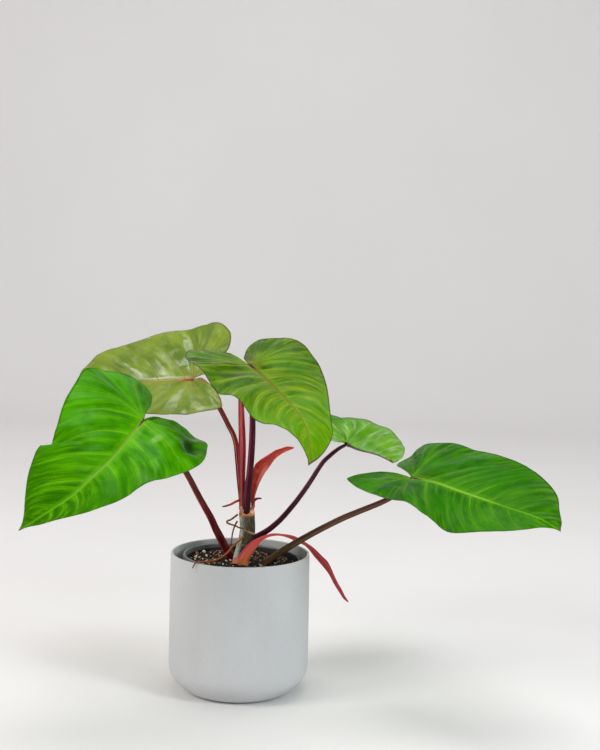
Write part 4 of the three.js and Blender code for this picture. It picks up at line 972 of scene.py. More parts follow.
# ------------------------------------------------------------------ materials: blades
def vein_masks(t):
    vu, vs, vw, vk = (t.attr(k) for k in ("vu", "vs", "vw", "vk"))
    fr = t.math("SUBTRACT", t.math("FRACT", t.math("ADD", vu, 0.5)), 0.5)
    dist = t.math("MULTIPLY", t.math("ABSOLUTE", fr), vw)
    fade = t.math("MULTIPLY", vk, t.step(vs, 0.42, 0.97, 1.0, 0.06))
    half = t.math("MULTIPLY_ADD", vs, -0.50, 0.78)
    line = t.math("MULTIPLY", t.step(t.math("DIVIDE", dist, half), 0.25, 1.25, 1.0, 0.0), fade)
    halo = t.math("MULTIPLY", t.step(dist, 0.3, 5.5, 1.0, 0.0), fade)
    return vu, vs, dist, line, halo


def blade_top(name, c, seed, rough=0.33, spec=0.42, halo_k=0.42, line_k=0.75, streak_k=0.5, base_brown=None, base_len=14.0,
              bump_k=1.0, vein_base=None, tip_deep=0.0, margin_k=0.35, margin_w=0.25,
              mid_w=1.5, halo_w=5.5, tint=(1.0, 1.0, 1.0), gloss_var=0.10, spots=()):
    t = Tree(name)
    vu, vs, dist, line, halo = vein_masks(t)
    halo = t.math("MULTIPLY", t.step(dist, 0.3, halo_w, 1.0, 0.0), t.math("MULTIPLY", t.attr("vk"), t.step(vs, 0.25, 0.95, 1.0, 0.15)))
    md, ed, ma, td = (t.attr(k) for k in ("md", "ed", "ma", "td"))
    fx, fy, sd = (t.attr(k) for k in ("fx", "fy", "sd"))
    flat = t.vec(fx, fy, t.math("MULTIPLY", sd, 9.0 + seed))
    rib = t.vec(t.math("MULTIPLY", vu, 5.0), t.math("MULTIPLY", vs, 1.25), t.math("MULTIPLY_ADD", sd, 7.0, float(seed)))
    fine = t.vec(t.math("MULTIPLY", vu, 17.0), t.math("MULTIPLY", vs, 2.2), t.math("MULTIPLY_ADD", sd, 5.0, seed + 3.0))
    big = t.noise(flat, 0.035, 3.0, 0.55)
    streak = t.noise(rib, 1.0, 4.0, 0.62)
    thin = t.noise(fine, 1.0, 2.0, 0.5)
    speck = t.noise(flat, 0.9, 3.0, 0.6)
    col = t.mix(t.step(big, 0.30, 0.68), c["deep"], c["mid"])
    # towards the tip the colour shifts to tipcol by tip_deep; on blade A this darkening is painted shade
    if tip_deep:
        col = t.mix(t.step(ma, 0.15, 0.85, 0.0, tip_deep), col, c["tipcol"])
    col = t.mix(t.math("MULTIPLY", t.step(streak, 0.42, 0.72), streak_k), col, c["light"])
    col = t.mix(t.math("MULTIPLY", t.step(thin, 0.50, 0.78), 0.16), col, c["light"])
    col = t.mix(t.math("MULTIPLY", t.step(thin, 0.50, 0.22), 0.22), col, c["deep"])
    col = t.mix(t.math("MULTIPLY", t.step(speck, 0.35, 0.75), 0.14), col, c["light"])
    col = t.mix(t.math("MULTIPLY", halo, halo_k), col, c["light"])
    vein_col = c["vein"]
    if vein_base is not None:                              # darker near the midrib
        vein_col = t.mix(t.step(vs, 0.02, 0.42), vein_base, c["vein"])
    col = t.mix(t.math("MULTIPLY", line, line_k), col, vein_col)
    # midrib, narrower and greener towards the tip
    wide = t.math("POWER", t.math("SUBTRACT", 1.0, t.math("MINIMUM", t.math("MAXIMUM", ma, 0.0), 0.999)), 1.25)
    wide = t.math("MULTIPLY_ADD", wide, mid_w, 0.28)
    wide = t.math("MULTIPLY", wide, t.math("MULTIPLY_ADD", t.noise(flat, 0.11, 2.0), 0.5, 0.75))
    mid_m = t.step(t.math("DIVIDE", md, wide), 0.55, 1.35, 1.0, 0.0)
    near_m = t.step(t.math("DIVIDE", md, wide), 1.0, 4.5, 1.0, 0.0)
    col = t.mix(t.math("MULTIPLY", near_m, 0.42), col, c["light"])
    mid_col = t.mix(t.step(ma, 0.25, 0.95), c["midrib"], c["midtip"])
    mid_col = t.mix(t.math("MULTIPLY", t.noise(flat, 0.12, 2.0), 0.5), mid_col, c["light"])
    col = t.mix(t.math("MULTIPLY", mid_m, 0.95), col, mid_col)
    heel = t.math("SQRT", t.math("ADD", t.math("MULTIPLY", fx, fx), t.math("MULTIPLY", fy, fy)))
    if base_brown is not None:
        col = t.mix(t.math("MULTIPLY", t.step(heel, 1.5, base_len, 0.85, 0.0), t.step(t.math("MULTIPLY", md, 1.0), 0.8, 5.0, 1.0, 0.15)), col, base_brown)
    col = t.mix(t.step(heel, 1.2, 4.2, 0.8, 0.0), col, lin(70, 42, 30))
    # margin line and dried tip
    wob = t.math("MULTIPLY_ADD", t.noise(flat, 0.22, 2.0), 0.8, margin_w - 0.4)
    col = t.mix(t.math("MULTIPLY", t.step(t.math("SUBTRACT", ed, wob), 0.0, 0.45, 1.0, 0.0), margin_k), col, c["margin"])
    col = t.mix(t.step(td, 1.2, 5.0, 0.9, 0.0), col, lin(105, 72, 40))
    # patches of given colour in leaf coordinates; on blades A and E some of them are painted shade and painted
    # highlights
    for sx, sy, rx, ry, k, spot_col in spots:
        ox = t.math("MULTIPLY", t.math("SUBTRACT", fx, sx), 1.0 / rx)
        oy = t.math("MULTIPLY", t.math("SUBTRACT", fy, sy), 1.0 / ry)
        far = t.math("SQRT", t.math("ADD", t.math("MULTIPLY", ox, ox), t.math("MULTIPLY", oy, oy)))
        far = t.math("MULTIPLY_ADD", t.math("SUBTRACT", t.noise(flat, 0.10, 3.0), 0.5), 1.1, far)
        col = t.mix(t.step(far, 0.45, 1.15, k, 0.0), col, spot_col)
    r = t.math("MULTIPLY_ADD", streak, 0.10, rough - 0.05)
    patch = t.noise(flat, 0.075, 3.0, 0.6)
    r = t.math("MULTIPLY_ADD", t.step(patch, 0.40, 0.62), gloss_var, t.math("SUBTRACT", r, gloss_var * 0.5))
    r = t.math("MULTIPLY_ADD", t.noise(flat, 0.5, 3.0), 0.08, t.math("SUBTRACT", r, 0.04))
    # pale pin points and a few pale scuffs
    pin = t.step(t.voronoi(flat, 0.34), 0.05, 0.13, 1.0, 0.0)
    col = t.mix(t.math("MULTIPLY", t.math("MULTIPLY", pin, t.step(speck, 0.50, 0.62)), 0.5), col, c["vein"])
    r = t.math("MULTIPLY_ADD", mid_m, 0.10, r)
    pores = t.voronoi(flat, 1.5)
    h = t.math("MULTIPLY", line, -0.9)
    h = t.math("MULTIPLY_ADD", thin, 0.30, h)
    h = t.math("MULTIPLY_ADD", streak, 0.45, h)
    h = t.math("MULTIPLY_ADD", pores, 0.10, h)
    h = t.math("MULTIPLY_ADD", t.noise(flat, 1.6, 3.0), 0.16, h)
    return t.finish(col, r, t.bump(h, 0.00032 * bump_k, 0.85), specular=spec, Specular_Tint=(tint[0], tint[1], tint[2], 1.0))


def blade_under(name, c, seed, rough=0.42, spec=0.18, mid_k=(-1.9, 2.5), streak_k=0.45, tint=(1.0, 1.0, 1.0), painted_glints=None, line_k=0.75):
    t = Tree(name)
    vu, vs, dist, line, halo = vein_masks(t)
    md, ed, ma, td = (t.attr(k) for k in ("md", "ed", "ma", "td"))
    fx, fy, sd = (t.attr(k) for k in ("fx", "fy", "sd"))
    flat = t.vec(fx, fy, t.math("MULTIPLY", sd, 5.0 + seed))
    rib = t.vec(t.math("MULTIPLY", vu, 4.2), t.math("MULTIPLY", vs, 1.1), t.math("MULTIPLY_ADD", sd, 7.0, float(seed)))
    fine = t.vec(t.math("MULTIPLY", vu, 16.0), t.math("MULTIPLY", vs, 2.0), t.math("MULTIPLY_ADD", sd, 5.0, seed + 1.0))
    big, streak, thin = t.noise(flat, 0.032, 3.0, 0.55), t.noise(rib, 1.0, 4.0, 0.6), t.noise(fine, 1.0, 2.0, 0.5)
    col = t.mix(t.step(big, 0.30, 0.70), c["deep"], c["mid"])
    col = t.mix(t.math("MULTIPLY", t.step(streak, 0.45, 0.75), streak_k), col, c["light"])
    col = t.mix(t.math("MULTIPLY", t.step(thin, 0.45, 0.75), 0.20), col, c["light"])
    col = t.mix(t.math("MULTIPLY", halo, 0.33 * line_k), col, c["light"])
    if painted_glints is not None:                                  # painted highlight: pale ripples in a band towards the margin, standing in for glossy glints
        ripple = t.noise(t.vec(t.math("MULTIPLY", vu, 4.2), t.math("MULTIPLY", vs, 1.3), sd), 1.0, 3.0, 0.6)
        band = t.math("MULTIPLY", t.step(vs, 0.35, 0.62), t.step(vs, 0.78, 0.97, 1.0, 0.0))
        col = t.mix(t.math("MULTIPLY", t.math("MULTIPLY", t.step(ripple, 0.47, 0.66), band), painted_glints[1]), col, painted_glints[0])
    vein_col = t.mix(t.step(vs, 0.05, 0.75), c["vein"], c["veinend"])
    col = t.mix(t.math("MULTIPLY", line, line_k), col, vein_col)
    wide = t.math("MAXIMUM", t.math("MULTIPLY_ADD", t.math("MAXIMUM", ma, 0.0), mid_k[0], mid_k[1]), 0.45)
    mid_m = t.step(t.math("DIVIDE", md, wide), 0.72, 1.25, 1.0, 0.0)
    mid_col = t.mix(t.step(ma, 0.3, 1.0), c["midrib"], c["midtip"])
    mid_col = t.mix(t.math("MULTIPLY", t.noise(t.vec(t.math("MULTIPLY", fx, 0.05), fy, 0.0), 1.6, 3.0), 0.45), mid_col, c["vein"])
    col = t.mix(mid_m, col, mid_col)
    col = t.mix(t.math("MULTIPLY", t.step(ed, 0.0, 0.7, 1.0, 0.0), 0.7), col, c["margin"])
    col = t.mix(t.step(td, 1.2, 5.0, 0.9, 0.0), col, lin(105, 72, 40))
    r = t.math("MULTIPLY_ADD", t.noise(flat, 0.3, 3.0), 0.16, rough - 0.08)
    h = t.math("MULTIPLY_ADD", line, 0.9, t.math("MULTIPLY", thin, 0.35))
    h = t.math("MULTIPLY_ADD", streak, 0.35, h)
    h = t.math("MULTIPLY_ADD", t.noise(flat, 1.9, 3.0), 0.22, h)
    return t.finish(col, r, t.bump(h, 0.0003, 0.8), specular=spec, Specular_Tint=(tint[0], tint[1], tint[2], 1.0))


def blade_edge(name, c):
    t = Tree(name)
    o = t.obj()
    n = t.noise(o, 160.0, 3.0, 0.6)
    col = t.mix(t.step(n, 0.40, 0.62), c["margin"], c["mid"])
    return t.finish(col, t.math("MULTIPLY_ADD", n, 0.2, 0.35), t.bump(n, 0.0002, 0.6), specular=0.2)


GREEN = (0.45, 0.85, 0.28)
BLADES = {
    "A": dict(node="leaf_front_left", slot="leaf_blade", seed=1,
              top=dict(deep=lin(34, 108, 0), mid=lin(62, 146, 0), light=lin(106, 184, 4), vein=lin(142, 200, 44), tipcol=lin(34, 92, 0),
                       midrib=lin(126, 158, 62), midtip=lin(96, 160, 26), margin=lin(104, 92, 34)),
              under=dict(deep=lin(92, 148, 34), mid=lin(112, 168, 44), light=lin(142, 190, 70), vein=lin(110, 84, 58),
                         veinend=lin(140, 182, 78), midrib=lin(98, 32, 34), midtip=lin(120, 110, 60), margin=lin(112, 70, 48)),
              # tip_deep with the dark tipcol paints shade over the tip end of blade A
              opt=dict(rough=0.25, spec=0.09, tint=GREEN, tip_deep=0.9, line_k=0.50, halo_k=0.36, streak_k=0.55, mid_w=2.6, gloss_var=0.16,
                       # the first two dark spots are painted shade in the hollow of the right lobe; the pale third is a
                       # painted highlight on the swelling beside it
                       spots=[(2.0, 60.0, 17.0, 10.0, 0.85, lin(22, 84, 0)), (-14.0, 58.0, 9.0, 6.0, 0.6, lin(30, 92, 0)),
                              (22.0, 28.0, 12.0, 5.5, 0.42, lin(150, 196, 104)), (52.0, 34.0, 22.0, 12.0, 0.5, lin(36, 116, 0)),
                              (120.0, 30.0, 40.0, 16.0, 0.55, lin(48, 122, 0))])),
    "B": dict(node="leaf_back_left", slot="young_leaf_blade", seed=2,
              top=dict(deep=lin(80, 112, 6), mid=lin(118, 142, 28), light=lin(158, 170, 62), vein=lin(150, 140, 72), tipcol=lin(104, 130, 22),
                       midrib=lin(158, 56, 30), midtip=lin(136, 92, 54), margin=lin(146, 92, 54)),
              under=dict(deep=lin(126, 100, 52), mid=lin(146, 122, 62), light=lin(168, 148, 84), vein=lin(120, 60, 40),
                         veinend=lin(150, 120, 70), midrib=lin(112, 36, 30), midtip=lin(130, 84, 50), margin=lin(110, 66, 40)),
              opt=dict(rough=0.22, spec=0.58, halo_k=0.20, line_k=0.34, streak_k=0.42, vein_base=lin(156, 84, 42), base_brown=lin(176, 84, 36),
                       base_len=24.0, bump_k=2.2, margin_k=0.6, margin_w=0.5, gloss_var=0.22, mid_w=1.15)),
    "C": dict(node="leaf_centre", slot="leaf_blade", seed=3,
              top=dict(deep=lin(26, 66, 0), mid=lin(56, 108, 0), light=lin(128, 158, 16), vein=lin(150, 168, 60), tipcol=lin(86, 152, 0),
                       midrib=lin(104, 66, 54), midtip=lin(112, 124, 44), margin=lin(80, 52, 40)),
              under=dict(deep=lin(96, 146, 34), mid=lin(116, 166, 46), light=lin(146, 188, 74), vein=lin(112, 80, 56),
                         veinend=lin(144, 180, 78), midrib=lin(94, 30, 32), midtip=lin(120, 100, 56), margin=lin(104, 70, 48)),
              opt=dict(rough=0.28, spec=0.12, tint=(0.6, 0.85, 0.3), vein_base=lin(92, 66, 46), base_brown=lin(96, 66, 44), base_len=18.0,
                       tip_deep=0.75, margin_k=0.85, margin_w=0.5, streak_k=0.85, line_k=0.45, halo_k=0.45, halo_w=7.0, mid_w=2.1, gloss_var=0.18,
                       spots=[(-36.0, 27.0, 20.0, 20.0, 0.62, lin(40, 84, 0)), (-26.0, 44.0, 22.0, 14.0, 0.45, lin(48, 100, 0)),
                              (-22.0, 9.0, 17.0, 6.0, 0.55, lin(74, 66, 24)), (-6.0, -20.0, 16.0, 5.0, 0.5, lin(96, 88, 52)),
                              (30.0, 40.0, 34.0, 20.0, 0.35, lin(48, 112, 0)), (-24.0, -42.0, 20.0, 16.0, 0.4, lin(60, 120, 4))])),
    "D": dict(node="leaf_back_right", slot="leaf_blade", seed=4,
              top=dict(deep=lin(28, 104, 0), mid=lin(44, 130, 0), light=lin(88, 160, 10), vein=lin(130, 184, 46), tipcol=lin(40, 120, 0),
                       midrib=lin(128, 150, 60), midtip=lin(130, 186, 60), margin=lin(108, 70, 46)),
              # the underside colours are the paler leaf underside brightened further, standing in for light shining
              # through the blade: partly painted light
              under=dict(deep=lin(86, 164, 0), mid=lin(122, 202, 0), light=lin(164, 222, 56), vein=lin(88, 44, 30),
                         veinend=lin(150, 206, 70), midrib=lin(52, 4, 14), midtip=lin(78, 26, 24), margin=lin(86, 48, 36)),
              low=dict(rough=0.30, spec=0.14, mid_k=(-1.5, 2.9), tint=(0.7, 1.0, 0.4), painted_glints=(lin(206, 236, 168), 0.66), line_k=0.2),
              opt=dict(rough=0.30, spec=0.08, tint=GREEN, tip_deep=0.4)),
    "E": dict(node="leaf_right", slot="leaf_blade", seed=5,
              top=dict(deep=lin(14, 82, 0), mid=lin(40, 116, 0), light=lin(92, 156, 8), vein=lin(128, 186, 48), tipcol=lin(34, 96, 6),
                       midrib=lin(132, 186, 60), midtip=lin(98, 162, 40), margin=lin(100, 84, 44)),
              under=dict(deep=lin(86, 142, 34), mid=lin(106, 162, 44), light=lin(138, 186, 70), vein=lin(108, 86, 58),
                         veinend=lin(136, 178, 74), midrib=lin(98, 36, 34), midtip=lin(120, 110, 60), margin=lin(112, 72, 48)),
              opt=dict(rough=0.25, spec=0.06, tint=(0.4, 0.85, 0.2), tip_deep=0.3, line_k=0.50, halo_k=0.34, streak_k=0.55, mid_w=2.8, gloss_var=0.18,
                       # the dark spot in the lobe at (-38, -20) is painted shade of its folds; the bluish one near the
                       # heel at (2, 22) is a painted reflection
                       spots=[(90.0, 40.0, 46.0, 22.0, 0.55, lin(34, 108, 0)), (70.0, -30.0, 50.0, 20.0, 0.45, lin(36, 114, 0)),
                              (-38.0, -20.0, 16.0, 12.0, 0.6, lin(20, 84, 0)), (2.0, 22.0, 12.0, 10.0, 0.35, lin(30, 100, 30)),
                              (126.0, 10.0, 26.0, 22.0, 0.4, lin(52, 116, 10))],
                       base_brown=lin(112, 150, 30), base_len=34.0)),
}

PUCKER = {"A": 0.075, "B": 0.15, "C": 0.09, "D": 0.22, "E": 0.08}
WAVE = {"A": 1.2, "B": 3.1, "C": 1.3, "D": 1.6, "E": 1.6}
blade_made = {}
for key, b in BLADES.items():
    nm = b["node"]
    mats = [blade_top(nm + "_upper", b["top"], b["seed"], **b["opt"]), blade_under(nm + "_lower", b["under"], b["seed"] + 20, **b.get("low", {})),
            blade_edge(nm + "_margin", b["top"])]
    blade_made[key] = build_blade("blade_" + nm[5:], key, mats, nv=NV, ns=NS, seed=b["seed"], slot=b["slot"], node=nm,
                                  pucker=PUCKER[key], wave=WAVE[key])


# ------------------------------------------------------------------ materials: stalks, stem, roots
def stalk_mat(name, dark, mid, bright, line=None, line_at=0.0, line_w=0.10, line_k=0.6, line_u=(0.0, 1.0), end=None, base=None,
              rough=0.34, spec=0.11, seed=0.0, flecks=None, end_at=(0.75, 0.98), fleck_k=0.5):
    t = Tree(name)
    tu, tl, ca, sa = (t.attr(k) for k in ("tu", "tl", "ca", "sa"))
    grain = t.vec(t.math("MULTIPLY", ca, 3.4), t.math("MULTIPLY", sa, 3.4), t.math("MULTIPLY_ADD", tl, 0.030, seed))
    fine = t.vec(t.math("MULTIPLY", ca, 11.0), t.math("MULTIPLY", sa, 11.0), t.math("MULTIPLY_ADD", tl, 0.10, seed + 5))
    blot = t.vec(t.math("MULTIPLY", ca, 0.8), t.math("MULTIPLY", sa, 0.8), t.math("MULTIPLY_ADD", tl, 0.05, seed + 9))
    g, f, m = t.noise(grain, 1.0, 3.0, 0.6), t.noise(fine, 1.0, 3.0, 0.6), t.noise(blot, 1.0, 3.0, 0.55)
    col = t.mix(t.step(g, 0.34, 0.68), dark, mid)
    col = t.mix(t.math("MULTIPLY", t.step(m, 0.45, 0.75), 0.55), col, bright)
    col = t.mix(t.math("MULTIPLY", t.step(f, 0.52, 0.76), 0.35), col, bright)
    col = t.mix(t.math("MULTIPLY", t.step(f, 0.48, 0.26), 0.30), col, dark)
    if base is not None:
        col = t.mix(t.step(tu, 0.02, 0.16, 0.85, 0.0), col, base)
    if end is not None:
        col = t.mix(t.step(tu, end_at[0], end_at[1], 0.0, 0.9), col, end)
    # painted highlight: the colour line is laid as a narrow stripe along the side at angle line_at, standing in for the
    # glint of the light on the stalk
    if line is not None:
        dot = t.math("ADD", t.math("MULTIPLY", ca, math.cos(line_at)), t.math("MULTIPLY", sa, math.sin(line_at)))
        glint_mask = t.step(dot, math.cos(line_w * 2.4), math.cos(line_w * 0.6))
        along = t.math("MULTIPLY", t.step(tu, line_u[0], line_u[0] + 0.08), t.step(tu, line_u[1] - 0.10, line_u[1], 1.0, 0.0))
        broken = t.math("MULTIPLY_ADD", g, 0.6, 0.55, clamp=True)
        col = t.mix(t.math("MULTIPLY", t.math("MULTIPLY", glint_mask, along), t.math("MULTIPLY", broken, line_k)), col, line)
    dots = t.voronoi(t.vec(t.math("MULTIPLY", ca, 2.4), t.math("MULTIPLY", sa, 2.4), t.math("MULTIPLY_ADD", tl, 0.33, seed)), 1.9)
    spot = t.step(dots, 0.10, 0.24, 1.0, 0.0)
    if flecks is not None:
        col = t.mix(t.math("MULTIPLY", spot, fleck_k), col, flecks)
    r = t.math("MULTIPLY_ADD", m, 0.18, rough - 0.09)
    h = t.math("MULTIPLY_ADD", g, 0.7, t.math("MULTIPLY", f, 0.5))
    h = t.math("MULTIPLY_ADD", spot, 0.25, h)
    return t.finish(col, r, t.bump(h, 0.00025, 0.8), specular=spec)


def tube_shift(ang, at):
    return (ang - at + math.pi) % (2 * math.pi) - math.pi


def stalk_relief(seed, groove_at=None, groove_w=0.28, groove_d=0.35, swell=0.35, ridges=0.05):
    def f(u, s, ang, R):
        P = np.stack([np.cos(ang) * 1.6, np.sin(ang) * 1.6, s / 22.0 + seed], -1)
        P2 = np.stack([np.cos(ang) * 4.0, np.sin(ang) * 4.0, s / 60.0 + seed], -1)
        out = 0.16 * fbm(P, seed, 3) + ridges * 1.6 * fbm(P2, seed + 4, 2)
        out = out + swell * np.exp(-((u - 0.90) / 0.035) ** 2)                      # joint just below the blade
        out = out - 0.20 * np.exp(-((u - 0.845) / 0.012) ** 2) * 0.6
        if groove_at is not None:
            out = out - groove_d * np.exp(-(tube_shift(ang, groove_at) / groove_w) ** 2) * smooth(0.0, 0.1, u) * (1 - smooth(.85, .97, u))
        return out * smooth(0, 0.02, u + 0.02)
    return f


def stalk_points(node, key, reach=(4.0, 9.0, 15.0, 22.0), drop=1.0):
    """The stalk's line, carried on under the midrib of its blade, with matching radii."""
    p = [list(q) for q in TUBES[node]["p"]]
    _, line, up = blade_made[key]
    seg = np.concatenate([[0], np.cumsum(np.linalg.norm(np.diff(line, axis=0), axis=1))])
    extra = []
    for r in reach:
        q = np.array([np.interp(r, seg, line[:, k]) for k in range(3)])
        n = unit(np.array([np.interp(r, seg, up[:, k]) for k in range(3)]))
        extra.append(q - n * (drop + 0.35))
    p = p[:-1] + [list(q) for q in extra]
    n_cad = len(TUBES[node]["p"])
    u_cad = np.arange(n_cad) / (n_cad - 1)
    rc = lerp_list(TUBES[node]["r"], u_cad)
    r = list(rc[:-1]) + [1.9, 1.5, 1.1, 0.5][:len(extra)]
    return np.array(p, float), r


# line is the colour of each stalk's painted highlight stripe
STALKS = {
    "petiole_front_left": dict(key="A", slot="leaf_stalk", seed=11, groove=(0.9,),
                               mat=dict(dark=lin(62, 12, 20), mid=lin(104, 28, 28), bright=lin(138, 66, 46), line=lin(200, 84, 84),
                                        line_at=-0.95, line_w=0.15, line_k=0.6, line_u=(-0.1, 0.9), base=lin(104, 10, 44), rough=0.26,
                                        end=lin(104, 62, 36), end_at=(0.15, 0.95))),
    "petiole_back_left": dict(key="B", slot="leaf_stalk_red", seed=12, groove=(-0.35,),
                              mat=dict(dark=lin(66, 10, 10), mid=lin(110, 24, 20), bright=lin(146, 50, 38), line=lin(214, 150, 136),
                                       line_at=-0.42, line_w=0.07, line_k=0.7, line_u=(-0.1, 0.86), rough=0.32, end=lin(160, 78, 40))),
    "petiole_centre": dict(key="C", slot="leaf_stalk", seed=13, groove=(-0.25,),
                           mat=dict(dark=lin(34, 2, 10), mid=lin(66, 6, 24), bright=lin(108, 28, 48), line=lin(150, 54, 88),
                                    line_at=-0.62, line_w=0.16, line_k=0.6, line_u=(0.06, 0.92), base=lin(28, 6, 16), rough=0.31,
                                    end=lin(104, 54, 44))),
    "petiole_back_right": dict(key="D", slot="leaf_stalk", seed=14, groove=(1.9,),
                               mat=dict(dark=lin(32, 2, 18), mid=lin(62, 10, 36), bright=lin(102, 34, 58), line=lin(146, 84, 96),
                                        line_at=-1.2, line_w=0.2, line_k=0.6, base=lin(44, 10, 22), rough=0.32, end=lin(76, 24, 26))),
    "petiole_right": dict(key="E", slot="leaf_stalk_olive", seed=15, groove=(0.4,),
                          mat=dict(dark=lin(52, 34, 18), mid=lin(84, 60, 36), bright=lin(120, 94, 60), line=lin(140, 110, 72),
                                   line_at=0.2, line_w=0.25, line_k=0.4, base=lin(80, 48, 30), rough=0.36, end=lin(78, 28, 42),
                                   end_at=(0.15, 0.75), flecks=lin(58, 32, 24), fleck_k=0.4)),
}
STALK_START = {"petiole_back_right": ([[8.0, -0.4, 182.6], [13.6, 0.8, 185.6]], [4.4, 4.1]),
               "petiole_centre": ([[7.0, -6.3, 216.6]], [2.6])}
for node, q in STALKS.items():
    pts, rad = stalk_points(node, q["key"])
    if node in STALK_START:
        more, more_r = STALK_START[node]
        pts, rad = np.concatenate([more, pts]), more_r + list(rad)
    if node == "petiole_centre":
        rad[1:4] = [4.0, 4.7, 4.5]
    build_tube("stalk_" + node[8:], pts, rad, 230, 44, [stalk_mat(node + "_skin", seed=float(q["seed"]), **q["mat"])],
               relief=stalk_relief(q["seed"], groove_at=q["groove"][0]), slot=q["slot"], replaces=(node,), cap1="flat",
               cap0="round" if node == "petiole_centre" else "flat")


def spear_relief(u, s, ang, R):
    seam = 0.55 + 1.5 * u
    d = tube_shift(ang, seam)
    lap = 0.26 * np.where(d > 0, np.exp(-d / 0.9), 0) * smooth(0.02, 0.12, u) - 0.20 * np.exp(-(d / 0.09) ** 2)
    P = np.stack([np.cos(ang) * 2.4, np.sin(ang) * 2.4, s / 34.0], -1)
    out = lap + 0.17 * fbm(P, 41, 3) + 0.10 * np.cos(9 * (ang - 0.6 * u))
    return out * np.clip(R / 3.0, 0.15, 1.0) * (1 - smooth(0.97, 1.0, u))


# the pale line stripe near the front of the rolled new leaf is a painted highlight
spear_mat = stalk_mat("new_leaf_skin", lin(108, 12, 32), lin(154, 30, 46), lin(194, 74, 80), line=lin(216, 120, 112), line_at=-0.15,
                      line_w=0.22, line_k=0.5, base=lin(206, 96, 74), rough=0.34, seed=31.0, end=lin(150, 70, 50), end_at=(0.9, 1.0),
                      flecks=lin(96, 26, 26), fleck_k=0.35)
build_tube("new_leaf_roll", TUBES["new_leaf_spear"]["p"], TUBES["new_leaf_spear"]["r"], 210, 56, [spear_mat], relief=spear_relief,
           slot="new_leaf", replaces=("new_leaf_spear",), closed_tip=1.6)


# ------------------------------------------------------------------ stem
STEM_RINGS = [(68.0, -3.4, 1.0), (33.0, 2.0, 0.7), (50.5, 1.2, 0.35)]     # mm up the stem, slope to the right, strength


def stem_relief(u, s, ang, R):
    P = np.stack([np.cos(ang) * 2.0, np.sin(ang) * 2.0, s / 16.0], -1)
    P2 = np.stack([np.cos(ang) * 6.5, np.sin(ang) * 6.5, s / 42.0], -1)
    out = 0.34 * fbm(P, 51, 3) + 0.26 * fbm(P2, 52, 3)
    for at, slope, k in STEM_RINGS:
        d = s - (at + slope * np.sin(ang) + 0.8 * np.cos(2 * ang + 0.6))
        out = out + k * (0.45 * np.exp(-((d - 0.9) / 1.0) ** 2) - 0.55 * np.exp(-((d + 0.5) / 0.7) ** 2))
        out = out - k * 0.35 * np.exp(-np.maximum(-d, 0) / 7.0) * (d < 0)
    out = out - 0.7 * smooth(0.955, 1.0, u) * 1.4
    return out


def stem_mat():
    t = Tree("stem_bark")
    tu, tl, ca, sa = (t.attr(k) for k in ("tu", "tl", "ca", "sa"))
    grain = t.vec(t.math("MULTIPLY", ca, 7.0), t.math("MULTIPLY", sa, 7.0), t.math("MULTIPLY", tl, 0.045))
    fine = t.vec(t.math("MULTIPLY", ca, 22.0), t.math("MULTIPLY", sa, 22.0), t.math("MULTIPLY", tl, 0.12))
    blot = t.vec(t.math("MULTIPLY", ca, 1.6), t.math("MULTIPLY", sa, 1.6), t.math("MULTIPLY", tl, 0.07))
    g, f, m = t.noise(grain, 1.0, 4.0, 0.65), t.noise(fine, 1.0, 3.0, 0.6), t.noise(blot, 1.0, 3.0, 0.6)
    # painted light and shade: the left side (left) is painted pale where the key light falls and the right side (right)
    # is painted dark
    left = t.step(t.math("ADD", t.math("MULTIPLY", sa, -1.0), t.math("MULTIPLY", t.math("SUBTRACT", g, 0.5), 0.9)), 0.28, 0.74)
    low = t.step(tl, 52.0, 66.0, 1.0, 0.0)
    right = t.step(t.math("MULTIPLY_ADD", t.math("SUBTRACT", g, 0.5), 0.8, sa), 0.25, 0.65)
    col = t.mix(t.step(g, 0.36, 0.66), lin(40, 30, 16), lin(88, 70, 42))
    col = t.mix(t.math("MULTIPLY", low, 0.70), col, lin(50, 60, 46))
    col = t.mix(t.math("MULTIPLY", right, 0.75), col, lin(36, 36, 28))
    col = t.mix(t.math("MULTIPLY", left, 0.92), col, lin(206, 212, 196))
    col = t.mix(t.math("MULTIPLY", t.step(f, 0.50, 0.72), 0.50), col, lin(164, 168, 138))
    col = t.mix(t.math("MULTIPLY", t.step(f, 0.48, 0.28), 0.60), col, lin(34, 32, 22))
    col = t.mix(t.math("MULTIPLY", t.step(m, 0.50, 0.70), 0.55), col, lin(92, 66, 40))
    col = t.mix(t.math("MULTIPLY", t.step(m, 0.46, 0.30), 0.35), col, lin(38, 42, 34))
    ring = None
    for at, slope, k in STEM_RINGS:
        d = t.math("SUBTRACT", tl, t.math("MULTIPLY_ADD", sa, slope, at))
        one = t.math("MULTIPLY", t.step(t.math("ABSOLUTE", t.math("SUBTRACT", d, 0.6)), 0.4, 1.6, 1.0, 0.0), k)
        ring = one if ring is None else t.math("MAXIMUM", ring, one)
    col = t.mix(t.math("MULTIPLY", ring, 0.8), col, lin(206, 170, 128))
    col = t.mix(t.step(tl, 84.5, 89.5, 0.0, 0.85), col, lin(186, 120, 74))
    r = t.math("MULTIPLY_ADD", f, 0.25, 0.45)
    h = t.math("MULTIPLY_ADD", g, 0.8, t.math("MULTIPLY", f, 0.6))
    return t.finish(col, r, t.bump(h, 0.0005, 0.9), specular=0.3)


build_tube("stem_ringed", TUBES["main_stem"]["p"], TUBES["main_stem"]["r"], 236, 88, [stem_mat()], relief=stem_relief,
           slot="stem", replaces=("main_stem",), cap1="flat")


